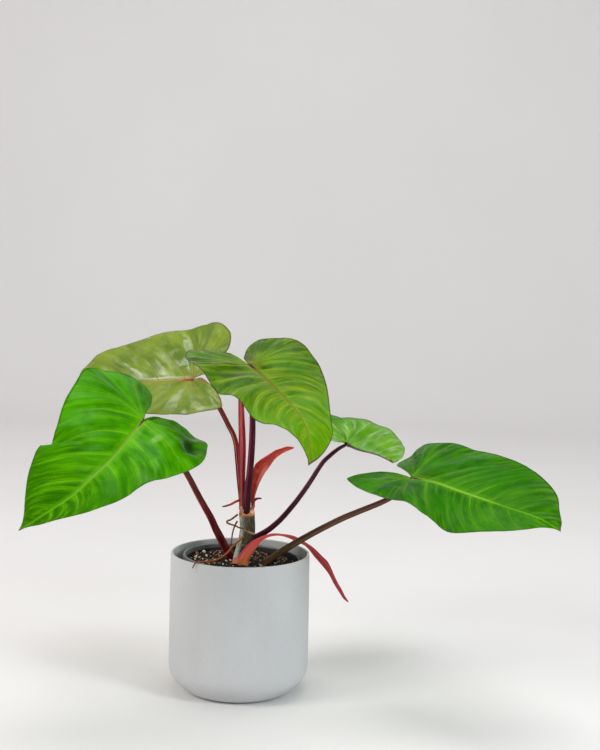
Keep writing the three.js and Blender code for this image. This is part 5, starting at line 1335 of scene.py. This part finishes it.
def papery(name, a, b, c, seed=0.0, top=None):
    t = Tree(name)
    o = t.obj()
    fine = t.scaled(o, 1.0, 1.0, 0.18)
    n, m = t.noise(fine, 420.0, 3.0, 0.6), t.noise(o, 70.0 + seed, 3.0, 0.6)
    col = t.mix(t.step(m, 0.38, 0.64), a, b)
    col = t.mix(t.math("MULTIPLY", t.step(n, 0.5, 0.75), 0.6), col, c)
    if top is not None:
        z = t.math("MULTIPLY_ADD", m, 0.004, t.split(o, "Z"))
        col = t.mix(t.step(z, top[0], top[1], 0.0, 0.9), col, top[2])
    return t.finish(col, t.math("MULTIPLY_ADD", n, 0.25, 0.5), t.bump(t.math("MULTIPLY_ADD", n, 0.7, m), 0.0004, 0.8), specular=0.3)


def collar(name, z_of, r_in, r_out, height_of, mats, centre, sides=160, rings=10, seed=0, slot="bract", a0=0.0, a1=2 * math.pi):
    """A thin upstanding band round the stem, closed, with a torn upper margin."""
    whole = abs(a1 - a0 - 2 * math.pi) < 1e-6
    ang = np.linspace(a0, a1, sides, endpoint=not whole)
    n = len(ang)
    v = np.linspace(0, 1, rings)
    Ag, Vg = np.meshgrid(ang, v, indexing="ij")
    H = height_of(Ag)
    if not whole:
        H = H * np.clip(np.minimum(Ag - a0, a1 - Ag) / 0.35, 0.08, 1) ** 0.6
    N3 = np.stack([np.cos(Ag) * 3, np.sin(Ag) * 3, Vg * 1.6 + seed], -1)
    waver = 0.5 * fbm(N3, seed, 3) * Vg
    ro = r_out(Ag, Vg) if callable(r_out) else r_out
    ro = ro + waver
    ri = ro - r_in * (1 - 0.65 * Vg)
    Z = z_of(Ag) + H * Vg
    def ringv(R):
        return np.stack([centre[0] + R * np.sin(Ag), centre[1] - R * np.cos(Ag), Z], -1)
    Vo, Vi = ringv(ro), ringv(ri)
    verts = np.concatenate([Vo.reshape(-1, 3), Vi.reshape(-1, 3)])
    m = n * rings
    faces = []
    for i in range(n if whole else n - 1):
        j = (i + 1) % n
        for k in range(rings - 1):
            a, b, c, d = i * rings + k, j * rings + k, j * rings + k + 1, i * rings + k + 1
            faces.append((a, b, c, d))
            faces.append((m + a, m + d, m + c, m + b))
        faces.append((i * rings + rings - 1, j * rings + rings - 1, m + j * rings + rings - 1, m + i * rings + rings - 1))
        faces.append((m + i * rings, m + j * rings, j * rings, i * rings))
    if not whole:
        for i, flip in ((0, False), (n - 1, True)):
            for k in range(rings - 1):
                q = (i * rings + k, i * rings + k + 1, m + i * rings + k + 1, m + i * rings + k)
                faces.append(q[::-1] if flip else q)
    ob = make_piece(name, verts, faces, mats, slot=slot)
    fix_outward(ob)
    return ob


collar_mat = papery("collar_papery", lin(176, 96, 50), lin(206, 132, 78), lin(228, 176, 124))
cream_mat = papery("collar_cream", lin(196, 150, 104), lin(222, 188, 146), lin(238, 216, 186), 5.0, top=(0.2235, 0.2270, lin(160, 34, 34)))
pink_mat = papery("collar_pink", lin(190, 120, 108), lin(220, 172, 160), lin(240, 212, 200), 9.0)
STEM_TOP = (6.9, 0.0)
collar("stem_collar_ring", lambda a: 216.6 + 0.5 * np.cos(3 * a), 0.9, lambda a, v: 9.75 - 0.35 * v + 0.12 * np.sin(5 * a),
       lambda a: 2.6 + 0.7 * vnoise(np.stack([a * 3.0, a * 0, a * 0], -1), 5), [collar_mat], STEM_TOP, seed=3)
collar("stem_collar_right", lambda a: 217.4 + 0 * a, 0.8, lambda a, v: 9.3 - 0.8 * v,
       lambda a: 12.2 + 2.4 * vnoise(np.stack([a * 3.1, a * 0, a * 0], -1), 8), [cream_mat], STEM_TOP, seed=7, a0=0.42, a1=2.1)
collar("stem_collar_left", lambda a: 217.4 + 0 * a, 0.8, lambda a, v: 9.3 - 0.9 * v,
       lambda a: 10.0 + 2.2 * vnoise(np.stack([a * 2.6, a * 0, a * 0], -1), 12), [pink_mat], STEM_TOP, seed=9, a0=-2.1, a1=-0.40)


# ------------------------------------------------------------------ aerial roots
def root_mat(name, dark, mid, bright, seed, tip=None, tip_at=(0.8, 0.97), base=None):
    t = Tree(name)
    tu, tl, ca, sa = (t.attr(k) for k in ("tu", "tl", "ca", "sa"))
    p = t.vec(t.math("MULTIPLY", ca, 2.2), t.math("MULTIPLY", sa, 2.2), t.math("MULTIPLY_ADD", tl, 0.22, seed))
    q = t.vec(t.math("MULTIPLY", ca, 6.0), t.math("MULTIPLY", sa, 6.0), t.math("MULTIPLY_ADD", tl, 1.1, seed))
    m, f = t.noise(p, 1.0, 4.0, 0.65), t.noise(q, 1.0, 3.0, 0.65)
    col = t.mix(t.step(m, 0.36, 0.66), dark, mid)
    col = t.mix(t.math("MULTIPLY", t.step(f, 0.46, 0.72), 0.6), col, bright)
    if base is not None:
        col = t.mix(t.step(tu, 0.0, 0.30, 0.9, 0.0), col, base)
    if tip is not None:
        col = t.mix(t.step(tu, tip_at[0], tip_at[1], 0.0, 0.95), col, tip)
    h = t.math("MULTIPLY_ADD", f, 0.8, m)
    return t.finish(col, t.math("MULTIPLY_ADD", f, 0.25, 0.5), t.bump(h, 0.0004, 0.9), specular=0.3)


def root_relief(seed, k=0.16):
    def f(u, s, ang, R):
        P = np.stack([np.cos(ang) * 1.5, np.sin(ang) * 1.5, s / 3.2 + seed], -1)
        return k * fbm(P, seed, 3) + 0.05 * np.sin(s * 2.1 + 2 * np.sin(ang))
    return f


ROOTS = {
    "aerial_root_long": ("aerial_root", (lin(112, 52, 16), lin(168, 88, 30), lin(206, 132, 66)), dict(tip=lin(118, 70, 40)), 240),
    "aerial_root_loop": ("aerial_root", (lin(84, 40, 16), lin(134, 72, 34), lin(176, 116, 68)), {}, 180),
    "aerial_root_thin": ("aerial_root", (lin(86, 36, 14), lin(138, 64, 28), lin(172, 96, 52)), {}, 140),
    "root_tip_left": ("root_bud", (lin(150, 34, 26), lin(186, 56, 40), lin(206, 92, 70)), dict(base=lin(70, 24, 22), tip=lin(24, 14, 14), tip_at=(0.72, 0.86)), 90),
    "root_tip_right": ("root_bud", (lin(90, 30, 26), lin(130, 48, 38), lin(160, 80, 60)), dict(base=lin(60, 24, 22), tip=lin(30, 18, 16)), 90),
}
for k, (node, (slot, cols, extra, rings)) in enumerate(ROOTS.items()):
    names = {"aerial_root_long": "root_long", "aerial_root_loop": "root_loop", "aerial_root_thin": "root_thin",
             "root_tip_left": "root_bud_left", "root_tip_right": "root_bud_right"}
    build_tube(names[node], TUBES[node]["p"], TUBES[node]["r"], rings, 26, [root_mat(node + "_skin", *cols, seed=float(60 + k), **extra)],
               relief=root_relief(60 + k), slot=slot, replaces=(node,), closed_tip=1.3)


# ------------------------------------------------------------------ bracts
def bract_mat(name, low, mid, high, bright, seed, cuts=(0.25, 0.6), dark=None, shade=None, side=None):
    t = Tree(name)
    tu, tf, te = (t.attr(k) for k in ("tu", "tf", "te"))
    line = t.vec(t.math("MULTIPLY", tf, 16.0), t.math("MULTIPLY", tu, 3.0), seed)
    fine = t.vec(t.math("MULTIPLY", tf, 46.0), t.math("MULTIPLY", tu, 7.0), seed + 4.0)
    blot = t.vec(t.math("MULTIPLY", tf, 2.2), t.math("MULTIPLY", tu, 7.0), seed + 8.0)
    g, f, m = t.noise(line, 1.0, 3.0, 0.6), t.noise(fine, 1.0, 2.0, 0.6), t.noise(blot, 1.0, 3.0, 0.6)
    col = t.mix(t.step(tu, cuts[0] - 0.2, cuts[0] + 0.15), low, mid)
    col = t.mix(t.step(tu, cuts[1] - 0.2, cuts[1] + 0.25), col, high)
    col = t.mix(t.math("MULTIPLY", t.step(g, 0.46, 0.72), 0.50), col, bright)
    col = t.mix(t.math("MULTIPLY", t.step(m, 0.50, 0.30), 0.45), col, dark or lin(120, 30, 28))
    col = t.mix(t.math("MULTIPLY", t.step(f, 0.48, 0.74), 0.28), col, bright)
    col = t.mix(t.step(te, 0.0, 1.1, 0.75, 0.0), col, bright)
    big = t.noise(t.vec(t.math("MULTIPLY", tf, 1.6), t.math("MULTIPLY", tu, 14.0), seed + 21.0), 1.0, 3.0, 0.6)
    col = t.mix(t.math("MULTIPLY", t.step(big, 0.52, 0.68), 0.5), col, shade or bright)
    if side is not None:
        f0, f1, u0, u1, k, side_col = side
        part = t.step(t.math("MULTIPLY_ADD", t.math("SUBTRACT", g, 0.5), 0.5, tf), f0, f1)
        part = t.math("MULTIPLY", part, t.math("MULTIPLY", t.step(tu, u0, u0 + 0.05), t.step(tu, u1 - 0.12, u1, 1.0, 0.0)))
        col = t.mix(t.math("MULTIPLY", part, k), col, side_col)
    keel = t.step(t.math("ABSOLUTE", t.math("SUBTRACT", tf, 0.42)), 0.0, 0.10, 0.45, 0.0)
    col = t.mix(keel, col, bright)
    h = t.math("MULTIPLY_ADD", f, 0.4, t.math("MULTIPLY", g, 0.8))
    return t.finish(col, t.math("MULTIPLY_ADD", m, 0.18, 0.34), t.bump(h, 0.0003, 0.8), specular=0.22)


build_bract("bract_upper", RIBBONS["cataphyll_upper"], 150, 40,
            [bract_mat("bract_upper_skin", lin(190, 52, 24), lin(160, 32, 20), lin(152, 36, 28), lin(202, 84, 66), 71.0, dark=lin(90, 8, 10),
                        side=(0.60, 0.78, 0.0, 0.62, 0.6, lin(210, 116, 108)))],
            trough=-0.125, keel=-0.07, thick=1.05, slot="bract", replaces=("cataphyll_upper",), seed=71)
build_bract("bract_lower", RIBBONS["cataphyll_lower"], 240, 46,
            [bract_mat("bract_lower_skin", lin(212, 138, 62), lin(190, 56, 54), lin(158, 36, 34), lin(212, 106, 102), 73.0, cuts=(0.09, 0.5),
                       dark=lin(112, 14, 22), shade=lin(192, 48, 76), side=(0.66, 0.22, 0.03, 0.42, 0.70, lin(200, 58, 86)))],
            trough=0.075, keel=0.045, thick=1.05, slot="bract", replaces=("cataphyll_lower",), seed=73)

# ------------------------------------------------------------------ pots
def pot_mat():
    t = Tree("cover_pot_matte")
    o = t.obj()
    peel, mott, speck = t.noise(o, 260.0, 3.0, 0.55), t.noise(o, 9.0, 4.0, 0.6), t.noise(o, 900.0, 2.0, 0.7)
    grain = t.noise(o, 1500.0, 2.0, 0.6)
    pits = t.step(t.voronoi(o, 240.0), 0.05, 0.16, 1.0, 0.0)
    rub = t.noise(t.scaled(o, 1.0, 1.0, 5.0), 26.0, 4.0, 0.65)
    col = t.mix(t.step(mott, 0.32, 0.70), POT_A, POT_B)
    col = t.mix(t.math("MULTIPLY", t.step(speck, 0.56, 0.74), 0.30), col, POT_DARK)
    col = t.mix(t.math("MULTIPLY", t.step(speck, 0.42, 0.28), 0.25), col, POT_LIGHT)
    col = t.mix(t.math("MULTIPLY", t.step(rub, 0.62, 0.80), 0.18), col, POT_LIGHT)
    col = t.mix(t.math("MULTIPLY", pits, 0.16), col, POT_DARK)
    r = t.math("MULTIPLY_ADD", mott, 0.10, t.math("MULTIPLY_ADD", speck, 0.10, 0.44))
    h = t.math("MULTIPLY_ADD", grain, 0.30, t.math("MULTIPLY_ADD", peel, 0.9, t.math("MULTIPLY", pits, -0.3)))
    return t.finish(col, r, t.bump(h, 0.00016, 0.7), specular=0.42)


POT_A, POT_B, POT_DARK, POT_LIGHT = lin(194, 195, 196), lin(200, 201, 202), lin(154, 155, 158), lin(224, 225, 226)
OUTER = [[53, 0], [60, 1], [65.3, 3], [69.4, 6], [73.5, 10], [78.2, 15], [82.3, 21], [84.6, 28], [85.2, 38], [85.1, 70], [84.8, 120], [84.3, 167]]
INNER = [[81.2, 160], [81.9, 110], [82.2, 60], [81.9, 38], [79.5, 26], [75.3, 18], [70, 12], [64, 8], [57, 5.4], [48, 4.4]]


def smooth_profile(points, per=10, closed_ends=True):
    """A soft curve through a profile, for the bulging parts."""
    P = np.array(points, float)
    u = np.linspace(0, 1, per * (len(P) - 1) + 1)
    return crom(P, u)


body = smooth_profile(OUTER, 6)
lip = rounded([body[-1], [83.9, 169.3], [83.1, 170.0], [81.8, 170.0], [81.2, 169.3], [81.2, 160.0]], 0.55, 4)
bowl = smooth_profile(INNER, 6)
profile = np.concatenate([[[0, 0.7]], [[36, 0.7]], [[46, 0.6]], [[48.5, 0.1]], [[50, 0.0]], body, lip[1:-1], bowl, [[30, 4.4]], [[0, 4.4]]])
v, f = lathe(profile, 256)
ob = make_piece("pot_cover", v, f, [pot_mat()], slot="cover_pot", replaces=("outer_pot",))
fix_outward(ob)


def plastic_mat():
    t = Tree("grower_pot_plastic")
    o = t.obj()
    n, m, s = t.noise(o, 300.0, 3.0, 0.6), t.noise(o, 24.0, 3.0, 0.6), t.noise(t.scaled(o, 1.0, 1.0, 0.1), 500.0, 2.0, 0.6)
    dust = t.noise(o, 60.0, 5.0, 0.7)
    col = t.mix(t.step(m, 0.35, 0.7), lin(20, 20, 21), lin(32, 32, 33))
    col = t.mix(t.math("MULTIPLY", t.step(dust, 0.55, 0.78), 0.30), col, lin(96, 88, 78))
    col = t.mix(t.math("MULTIPLY", t.step(s, 0.62, 0.8), 0.25), col, lin(70, 70, 70))
    # painted highlight: the top of the rim is painted pale grey, standing in for the light it catches, patchy with the
    # dust noise
    rim_glint = t.step(t.math("MULTIPLY_ADD", m, 0.001, t.split(o, "Z")), 0.1618, 0.1632)
    col = t.mix(t.math("MULTIPLY", rim_glint, t.math("MULTIPLY_ADD", dust, 0.5, 0.15)), col, lin(150, 152, 154))
    return t.finish(col, t.math("MULTIPLY_ADD", dust, 0.30, 0.26), t.bump(t.math("MULTIPLY_ADD", n, 0.6, s), 0.00015, 0.6), specular=0.5)


INNER_TILT, INNER_SEAT = math.radians(2.4), np.array([-4.5, 0.0, 7.1])


def inner_at(z):
    return 52.5 + (68.3 - 52.5) * z / 158.0


def lean(V):
    """From the grower's pot's own frame to the shared one."""
    V = np.asarray(V, float)
    c, s = math.cos(INNER_TILT), math.sin(INNER_TILT)
    return np.stack([V[:, 0] * c + V[:, 2] * s, V[:, 1], -V[:, 0] * s + V[:, 2] * c], -1) + INNER_SEAT


out_wall = [[0, 0], [51, 0], [54, 2.5], [inner_at(149) + 1.5, 149.0]]
rim = [[inner_at(149) + 1.5, 149.0], [71.5, 149.4], [71.5, 157.2], [70.8, 158], [69.1, 158], [68.6, 157.2], [inner_at(152), 149.0]]
in_wall = [[inner_at(152), 149.0], [inner_at(4), 3.9], [inner_at(0) - 2.2, 1.5], [0, 1.5]]
prof = np.concatenate([[out_wall[0]], dense(rounded(out_wall, 1.0, 3)[1:-1], 8.0), dense(rounded([out_wall[-2]] + rim + [in_wall[1]], 0.6, 4)[1:-1], 4.0),
                       dense(rounded(in_wall, 1.0, 3)[1:-1], 8.0), [in_wall[-1]]])


def ribbing(ang, z):
    return 0.0 if z > 146 or z < 6 else 0.10 * np.cos(48 * ang)


v, f = lathe(prof, 240, None)
plain_pot = make_piece("pot_grower", lean(v), f, [plastic_mat()], slot="grower_pot", replaces=("nursery_pot",))
fix_outward(plain_pot)
# water holes in its underside
cut = Parts()
for k in range(5):
    a = 2 * math.pi * (k + 0.3) / 5
    hv, hf = lathe([[0, -4.0], [4.5, -4.0], [4.5, 5.0], [0, 5.0]], 40)
    cut.add(hv + np.array([36 * math.cos(a), 36 * math.sin(a), 0.0]), hf)
cutter = make_piece("hole_cutter", lean(np.concatenate(cut.v)), cut.f, [], body=None)
fix_outward(cutter)
mod = plain_pot.modifiers.new("holes", "BOOLEAN")
mod.operation, mod.solver, mod.object = "DIFFERENCE", "EXACT", cutter
deps = bpy.context.evaluated_depsgraph_get()
holed = bpy.data.meshes.new_from_object(plain_pot.evaluated_get(deps))
plain_pot.modifiers.clear()
plain_pot.data = holed
bpy.data.objects.remove(cutter)

# ------------------------------------------------------------------ potting mix
def soil_mat():
    t = Tree("potting_mix_dark")
    o = t.obj()
    a, b, c = t.noise(o, 110.0, 5.0, 0.7), t.noise(o, 420.0, 4.0, 0.7), t.noise(o, 1300.0, 3.0, 0.6)
    v1 = t.voronoi(o, 300.0)
    col = t.mix(t.step(a, 0.35, 0.65), lin(10, 7, 5), lin(24, 16, 11))
    col = t.mix(t.math("MULTIPLY", t.step(b, 0.50, 0.72), 0.5), col, lin(52, 34, 20))
    col = t.mix(t.math("MULTIPLY", t.step(c, 0.60, 0.78), 0.5), col, lin(120, 88, 58))
    col = t.mix(t.step(v1, 0.0, 0.22, 0.6, 0.0), col, lin(18, 13, 10))
    h = t.math("MULTIPLY_ADD", b, 0.8, t.math("MULTIPLY_ADD", c, 0.4, a))
    return t.finish(col, t.math("MULTIPLY_ADD", b, 0.25, 0.68), t.bump(h, 0.0016, 1.0), specular=0.25)


SOIL_Z = 151.0


def soil_height(x, y):
    P = np.stack([x / 9.0, y / 9.0, np.zeros_like(x)], -1)
    P2 = np.stack([x / 26.0, y / 26.0, np.ones_like(x)], -1)
    r = np.hypot(x, y)
    return SOIL_Z + 0.9 * fbm(P2, 81, 2) + 0.9 * fbm(P, 82, 4) + 0.35 * fbm(P * 4.1, 85, 3) - 1.6 * smooth(56, 68, r)


rs = np.concatenate([[0.0], np.linspace(1.2, inner_at(SOIL_Z) - 0.5, 74)])
ang = np.linspace(0, 2 * math.pi, 200, endpoint=False)
sv, sf = [[0, 0, float(soil_height(np.array([0.0]), np.array([0.0]))[0])]], []
for r in rs[1:]:
    x, y = r * np.cos(ang), r * np.sin(ang)
    sv += np.stack([x, y, soil_height(x, y)], -1).tolist()
low = [(inner_at(110) - .5, 110), (inner_at(60) - .5, 60), (inner_at(6) - .6, 6.0), (inner_at(0) - 3, 2.0)]
for r, z in low:
    sv += np.stack([r * np.cos(ang), r * np.sin(ang), np.full_like(ang, z)], -1).tolist()
sv.append([0, 0, 2.0])
NA, NR = len(ang), len(rs) - 1 + len(low)
for k in range(NA):
    k2 = (k + 1) % NA
    sf.append((0, 1 + k, 1 + k2))
    for i in range(NR - 1):
        a = 1 + i * NA
        sf.append((a + k, a + NA + k, a + NA + k2, a + k2))
    a = 1 + (NR - 1) * NA
    sf.append((a + k, len(sv) - 1, a + k2))
ob = make_piece("soil_mix", lean(sv), sf, [soil_mat()], slot="potting_mix", replaces=("potting_soil",))
fix_outward(ob)


def grain_mat(name, a, b, c, scale, rough, bump_mm, spec=0.3):
    t = Tree(name)
    o = t.obj()
    tag = t.attr("tag")
    n, m = t.noise(o, scale, 4.0, 0.65), t.noise(o, scale * 4, 3.0, 0.6)
    col = t.mix(t.step(n, 0.35, 0.66), a, b)
    col = t.mix(t.math("MULTIPLY", t.step(m, 0.5, 0.75), 0.6), col, c)
    col = t.mix(t.math("MULTIPLY", tag, 0.5), col, c)
    return t.finish(col, t.math("MULTIPLY_ADD", m, 0.2, rough), t.bump(t.math("MULTIPLY_ADD", m, 0.6, n), bump_mm * MM, 0.9), specular=spec)


def on_soil(x, y):
    """Height of the soil, in the grower's pot's own frame, at a place (x, y) of that frame."""
    return float(soil_height(np.array([x]), np.array([y]))[0])


KEEP_OUT = []          # (x, y, r) in the pot's own frame that grains stay out of
for node, z in (("main_stem", 152.0), ("petiole_front_left", 156.0), ("petiole_right", 154.0)):
    p = crom(TUBES[node]["p"], np.linspace(0, 1, 200))
    q = p[np.argmin(np.abs(p[:, 2] - 158.0))]
    KEEP_OUT.append((q[0] + 4.5 - 6.5, q[1], max(TUBES[node]["r"][0], 4) + 1.0))

rng = np.random.default_rng(2647)
chips, crumbs, perlite = Parts(), Parts(), Parts()


def strewn(n, rmax=66.0):
    out = []
    while len(out) < n:
        x, y = rng.uniform(-rmax, rmax, 2)
        if math.hypot(x, y) < rmax and all(math.hypot(x - kx, y - ky) > kr for kx, ky, kr in KEEP_OUT):
            out.append((x, y))
    return out


for x, y in strewn(260):
    s = rng.uniform(1.3, 4.2)
    vv, ff = pebble(rng, s, 2, 0.35, (1.0, rng.uniform(0.5, 0.8), rng.uniform(0.28, 0.5)), cut=0.9)
    chips.add(vv * [1, 1, 0.62] + [x, y, on_soil(x, y) + s * 0.10], ff, 0, float(rng.uniform(0, 1) ** 2))
for x, y in strewn(620):
    s = rng.uniform(0.5, 1.4)
    vv, ff = pebble(rng, s, 1, 0.35, (1.0, rng.uniform(0.5, 1.0), rng.uniform(0.4, 0.9)), cut=0.6)
    crumbs.add(vv + [x, y, on_soil(x, y) + s * 0.25], ff, 0, float(rng.uniform(0, 1)))


def seen_at(px, py, up=0.0):
    """Place on the soil, in the pot's own frame, that the view shows at a given point of the picture."""
    ray = FWD * 1490.0 + RIGHT * (px - 300.0) - UPV * (py - 375.0)
    lo, hi = 1500.0, 2200.0
    for _ in range(40):
        mid_t = (lo + hi) / 2
        P = CAM_AT + ray / 1490.0 * mid_t
        L = P - INNER_SEAT
        c, s = math.cos(INNER_TILT), math.sin(INNER_TILT)
        own = np.array([L[0] * c - L[2] * s, L[1], L[0] * s + L[2] * c])
        if own[2] > SOIL_Z + up:
            lo = mid_t
        else:
            hi = mid_t
    for _ in range(40):                                      # along the same line, inside the wall
        if math.hypot(own[0], own[1]) < 61.5:
            break
        mid_t -= 0.5 * (1 if own[1] > 0 else -1)
        L = CAM_AT + ray / 1490.0 * mid_t - INNER_SEAT
        own = np.array([L[0] * c - L[2] * s, L[1], L[0] * s + L[2] * c])
    return own


# the larger white grains and the odd bright chip, where the view shows them
for px, py, size in [(204, 550.6, 2.3), (201.0, 553.6, 1.1), (206.5, 556.0, 1.2), (196.5, 556.6, 1.2), (188.5, 556.5, 0.9), (202.5, 559.6, 1.0), (210.7, 552.7, 1.2), (191.5, 555, 1.1), (192, 558.4, 1.0), (219.8, 553.2, 1.1), (215, 559.9, 1.1),
                     (194.9, 559.9, 1.1), (258.5, 554.6, 0.9), (260, 560.8, 1.0), (199, 557.5, 0.8), (226, 560.5, 0.9), (206, 561.5, 0.8),
                     (270, 559.5, 0.8), (285, 557.0, 0.8)]:
    q = seen_at(px, py)
    vv, ff = pebble(rng, size, 3, 0.28)
    perlite.add(vv + [q[0], q[1], on_soil(q[0], q[1]) + size * 0.55], ff, 0, 0.0)
for x, y in strewn(190):
    s = rng.uniform(0.35, 1.05) + 0.5 * rng.uniform() ** 6
    vv, ff = pebble(rng, s, 2, 0.35, cut=0.5)
    perlite.add(vv + [x, y, on_soil(x, y) + s * 0.45], ff, int(rng.uniform() < 0.72), 0.0)
q = seen_at(197.3, 553.2)
vv, ff = pebble(rng, 3.4, 3, 0.35, (1.0, 0.6, 0.5), cut=0.9)
chips.add(vv + [q[0], q[1], on_soil(q[0], q[1]) + 0.6], ff, 1, 0.3)

for parts in (chips, crumbs, perlite):
    parts.v = [lean(a) for a in parts.v]
bark = grain_mat("bark_dark", lin(14, 9, 6), lin(34, 21, 12), lin(96, 58, 30), 160.0, 0.6, 0.7)
bark_bright = grain_mat("bark_bright", lin(120, 66, 34), lin(158, 96, 52), lin(190, 134, 88), 200.0, 0.55, 0.5)
peat = grain_mat("peat_crumb", lin(10, 7, 5), lin(24, 16, 10), lin(70, 48, 28), 300.0, 0.7, 0.5)
white = grain_mat("white_grain", lin(214, 208, 194), lin(232, 228, 218), lin(242, 240, 234), 420.0, 0.55, 0.25)
cream = grain_mat("cream_grain", lin(176, 150, 104), lin(206, 184, 140), lin(222, 206, 170), 380.0, 0.6, 0.3)
chips.piece("soil_bark", [bark, bark_bright], slot="potting_mix")
crumbs.piece("soil_crumbs", [peat], slot="potting_mix")
perlite.piece("soil_white_grains", [white, cream], slot="potting_mix")

# fine roots and fibres lying on the mix
FIBRES = [([(213, 555), (216.5, 552.4), (221.7, 552.2), (225, 553.2)], 0.95), ([(256, 551.5), (260, 552.2), (264, 554), (268.5, 557)], 0.6),
          ([(255, 560), (259.5, 557.4), (264, 557), (268, 558.6)], 0.55), ([(199, 560.5), (204, 559.3), (209, 560.4)], 0.45),
          ([(272, 554.5), (279, 555.0), (287, 558.2)], 0.45)]
for k, (line_px, r) in enumerate(FIBRES):
    ctrl = np.array([seen_at(px, py) for px, py in line_px])
    ctrl = crom(ctrl, np.linspace(0, 1, 14))
    ctrl[:, 2] = [on_soil(a, b) + r * 0.75 + 0.5 for a, b in ctrl[:, :2]]
    ctrl[0, 2] -= 1.6
    ctrl[-1, 2] -= 1.6
    ctrl = lean(ctrl)
    build_tube("soil_root_%d" % (k + 1), ctrl, [r * 0.9, r, r * 0.9, r * 0.7], 90, 18,
               [root_mat("soil_root_skin_%d" % (k + 1), lin(110, 66, 36), lin(156, 104, 62), lin(190, 146, 100), 80.0 + k)],
               relief=root_relief(80 + k, 0.10), slot="aerial_root", first=(0.3, -1, 0.2))

# ------------------------------------------------------------------ floor, backdrop, light
def floor_mat():
    t = Tree("studio_paper")
    o = t.obj()
    n, m = t.noise(o, 1.3, 3.0, 0.5), t.noise(o, 160.0, 3.0, 0.6)
    col = t.mix(t.step(n, 0.3, 0.7), lin(*FLOOR_A), lin(*FLOOR_B))
    return t.finish(col, t.math("MULTIPLY_ADD", m, 0.1, 0.72), t.bump(m, 0.0003, 0.4), specular=0.25)


FLOOR_A, FLOOR_B = (233, 231, 230), (236, 234, 233)
WALL_Y, CURVE, HALF, TOP = 3.3, 0.9, 5.0, 5.5
line2 = [(-4.5, 0.0), (0.0, 0.0)] + [(y, 0.0) for y in np.linspace(0.5, WALL_Y - CURVE, 6)]
line2 += [(WALL_Y - CURVE + CURVE * math.sin(a), CURVE - CURVE * math.cos(a)) for a in np.linspace(0, math.pi / 2, 40)[1:]]
line2 += [(WALL_Y, z) for z in np.linspace(CURVE + 0.3, TOP, 6)]
fv = [(x * 1000, y * 1000, z * 1000) for y, z in line2 for x in (-HALF, HALF)]
ff = [(2 * i, 2 * i + 1, 2 * i + 3, 2 * i + 2) for i in range(len(line2) - 1)]
floor = make_piece("studio_sweep", fv, ff, [floor_mat()], body=None)


def area(name, at, target, size, power, color):
    d = bpy.data.lights.new(name, "AREA")
    d.shape, d.size, d.size_y = "RECTANGLE", size[0], size[1]
    d.energy, d.color = power, color
    ob = bpy.data.objects.new(name, d)
    bpy.context.scene.collection.objects.link(ob)
    ob.location = at
    ob.rotation_euler = (Vector(target) - Vector(at)).to_track_quat("-Z", "Y").to_euler()
    return ob


LIGHTS = [("key", (-2.6, -1.5, 2.1), (0.05, 0.0, 0.22), (1.2, 1.2), 56.0, (1.0, 0.98, 0.95)),
          ("fill", (2.1, -1.7, 1.5), (0.05, 0.0, 0.20), (0.7, 1.2), 36.0, (0.84, 0.93, 1.0)),
          ("top", (0.2, 0.2, 3.0), (0.05, 0.1, 0.10), (1.6, 1.6), 36.0, (1.0, 0.99, 0.985))]
WORLD_COLOR = (0.84, 0.83, 0.83, 1.0)
WORLD_POWER = 0.47
for args in LIGHTS:
    area(*args)
world = bpy.data.worlds.new("studio")
world.use_nodes = True
world.node_tree.nodes["Background"].inputs[0].default_value = WORLD_COLOR
world.node_tree.nodes["Background"].inputs[1].default_value = WORLD_POWER
bpy.context.scene.world = world
bpy.context.scene.view_settings.view_transform = "Standard"
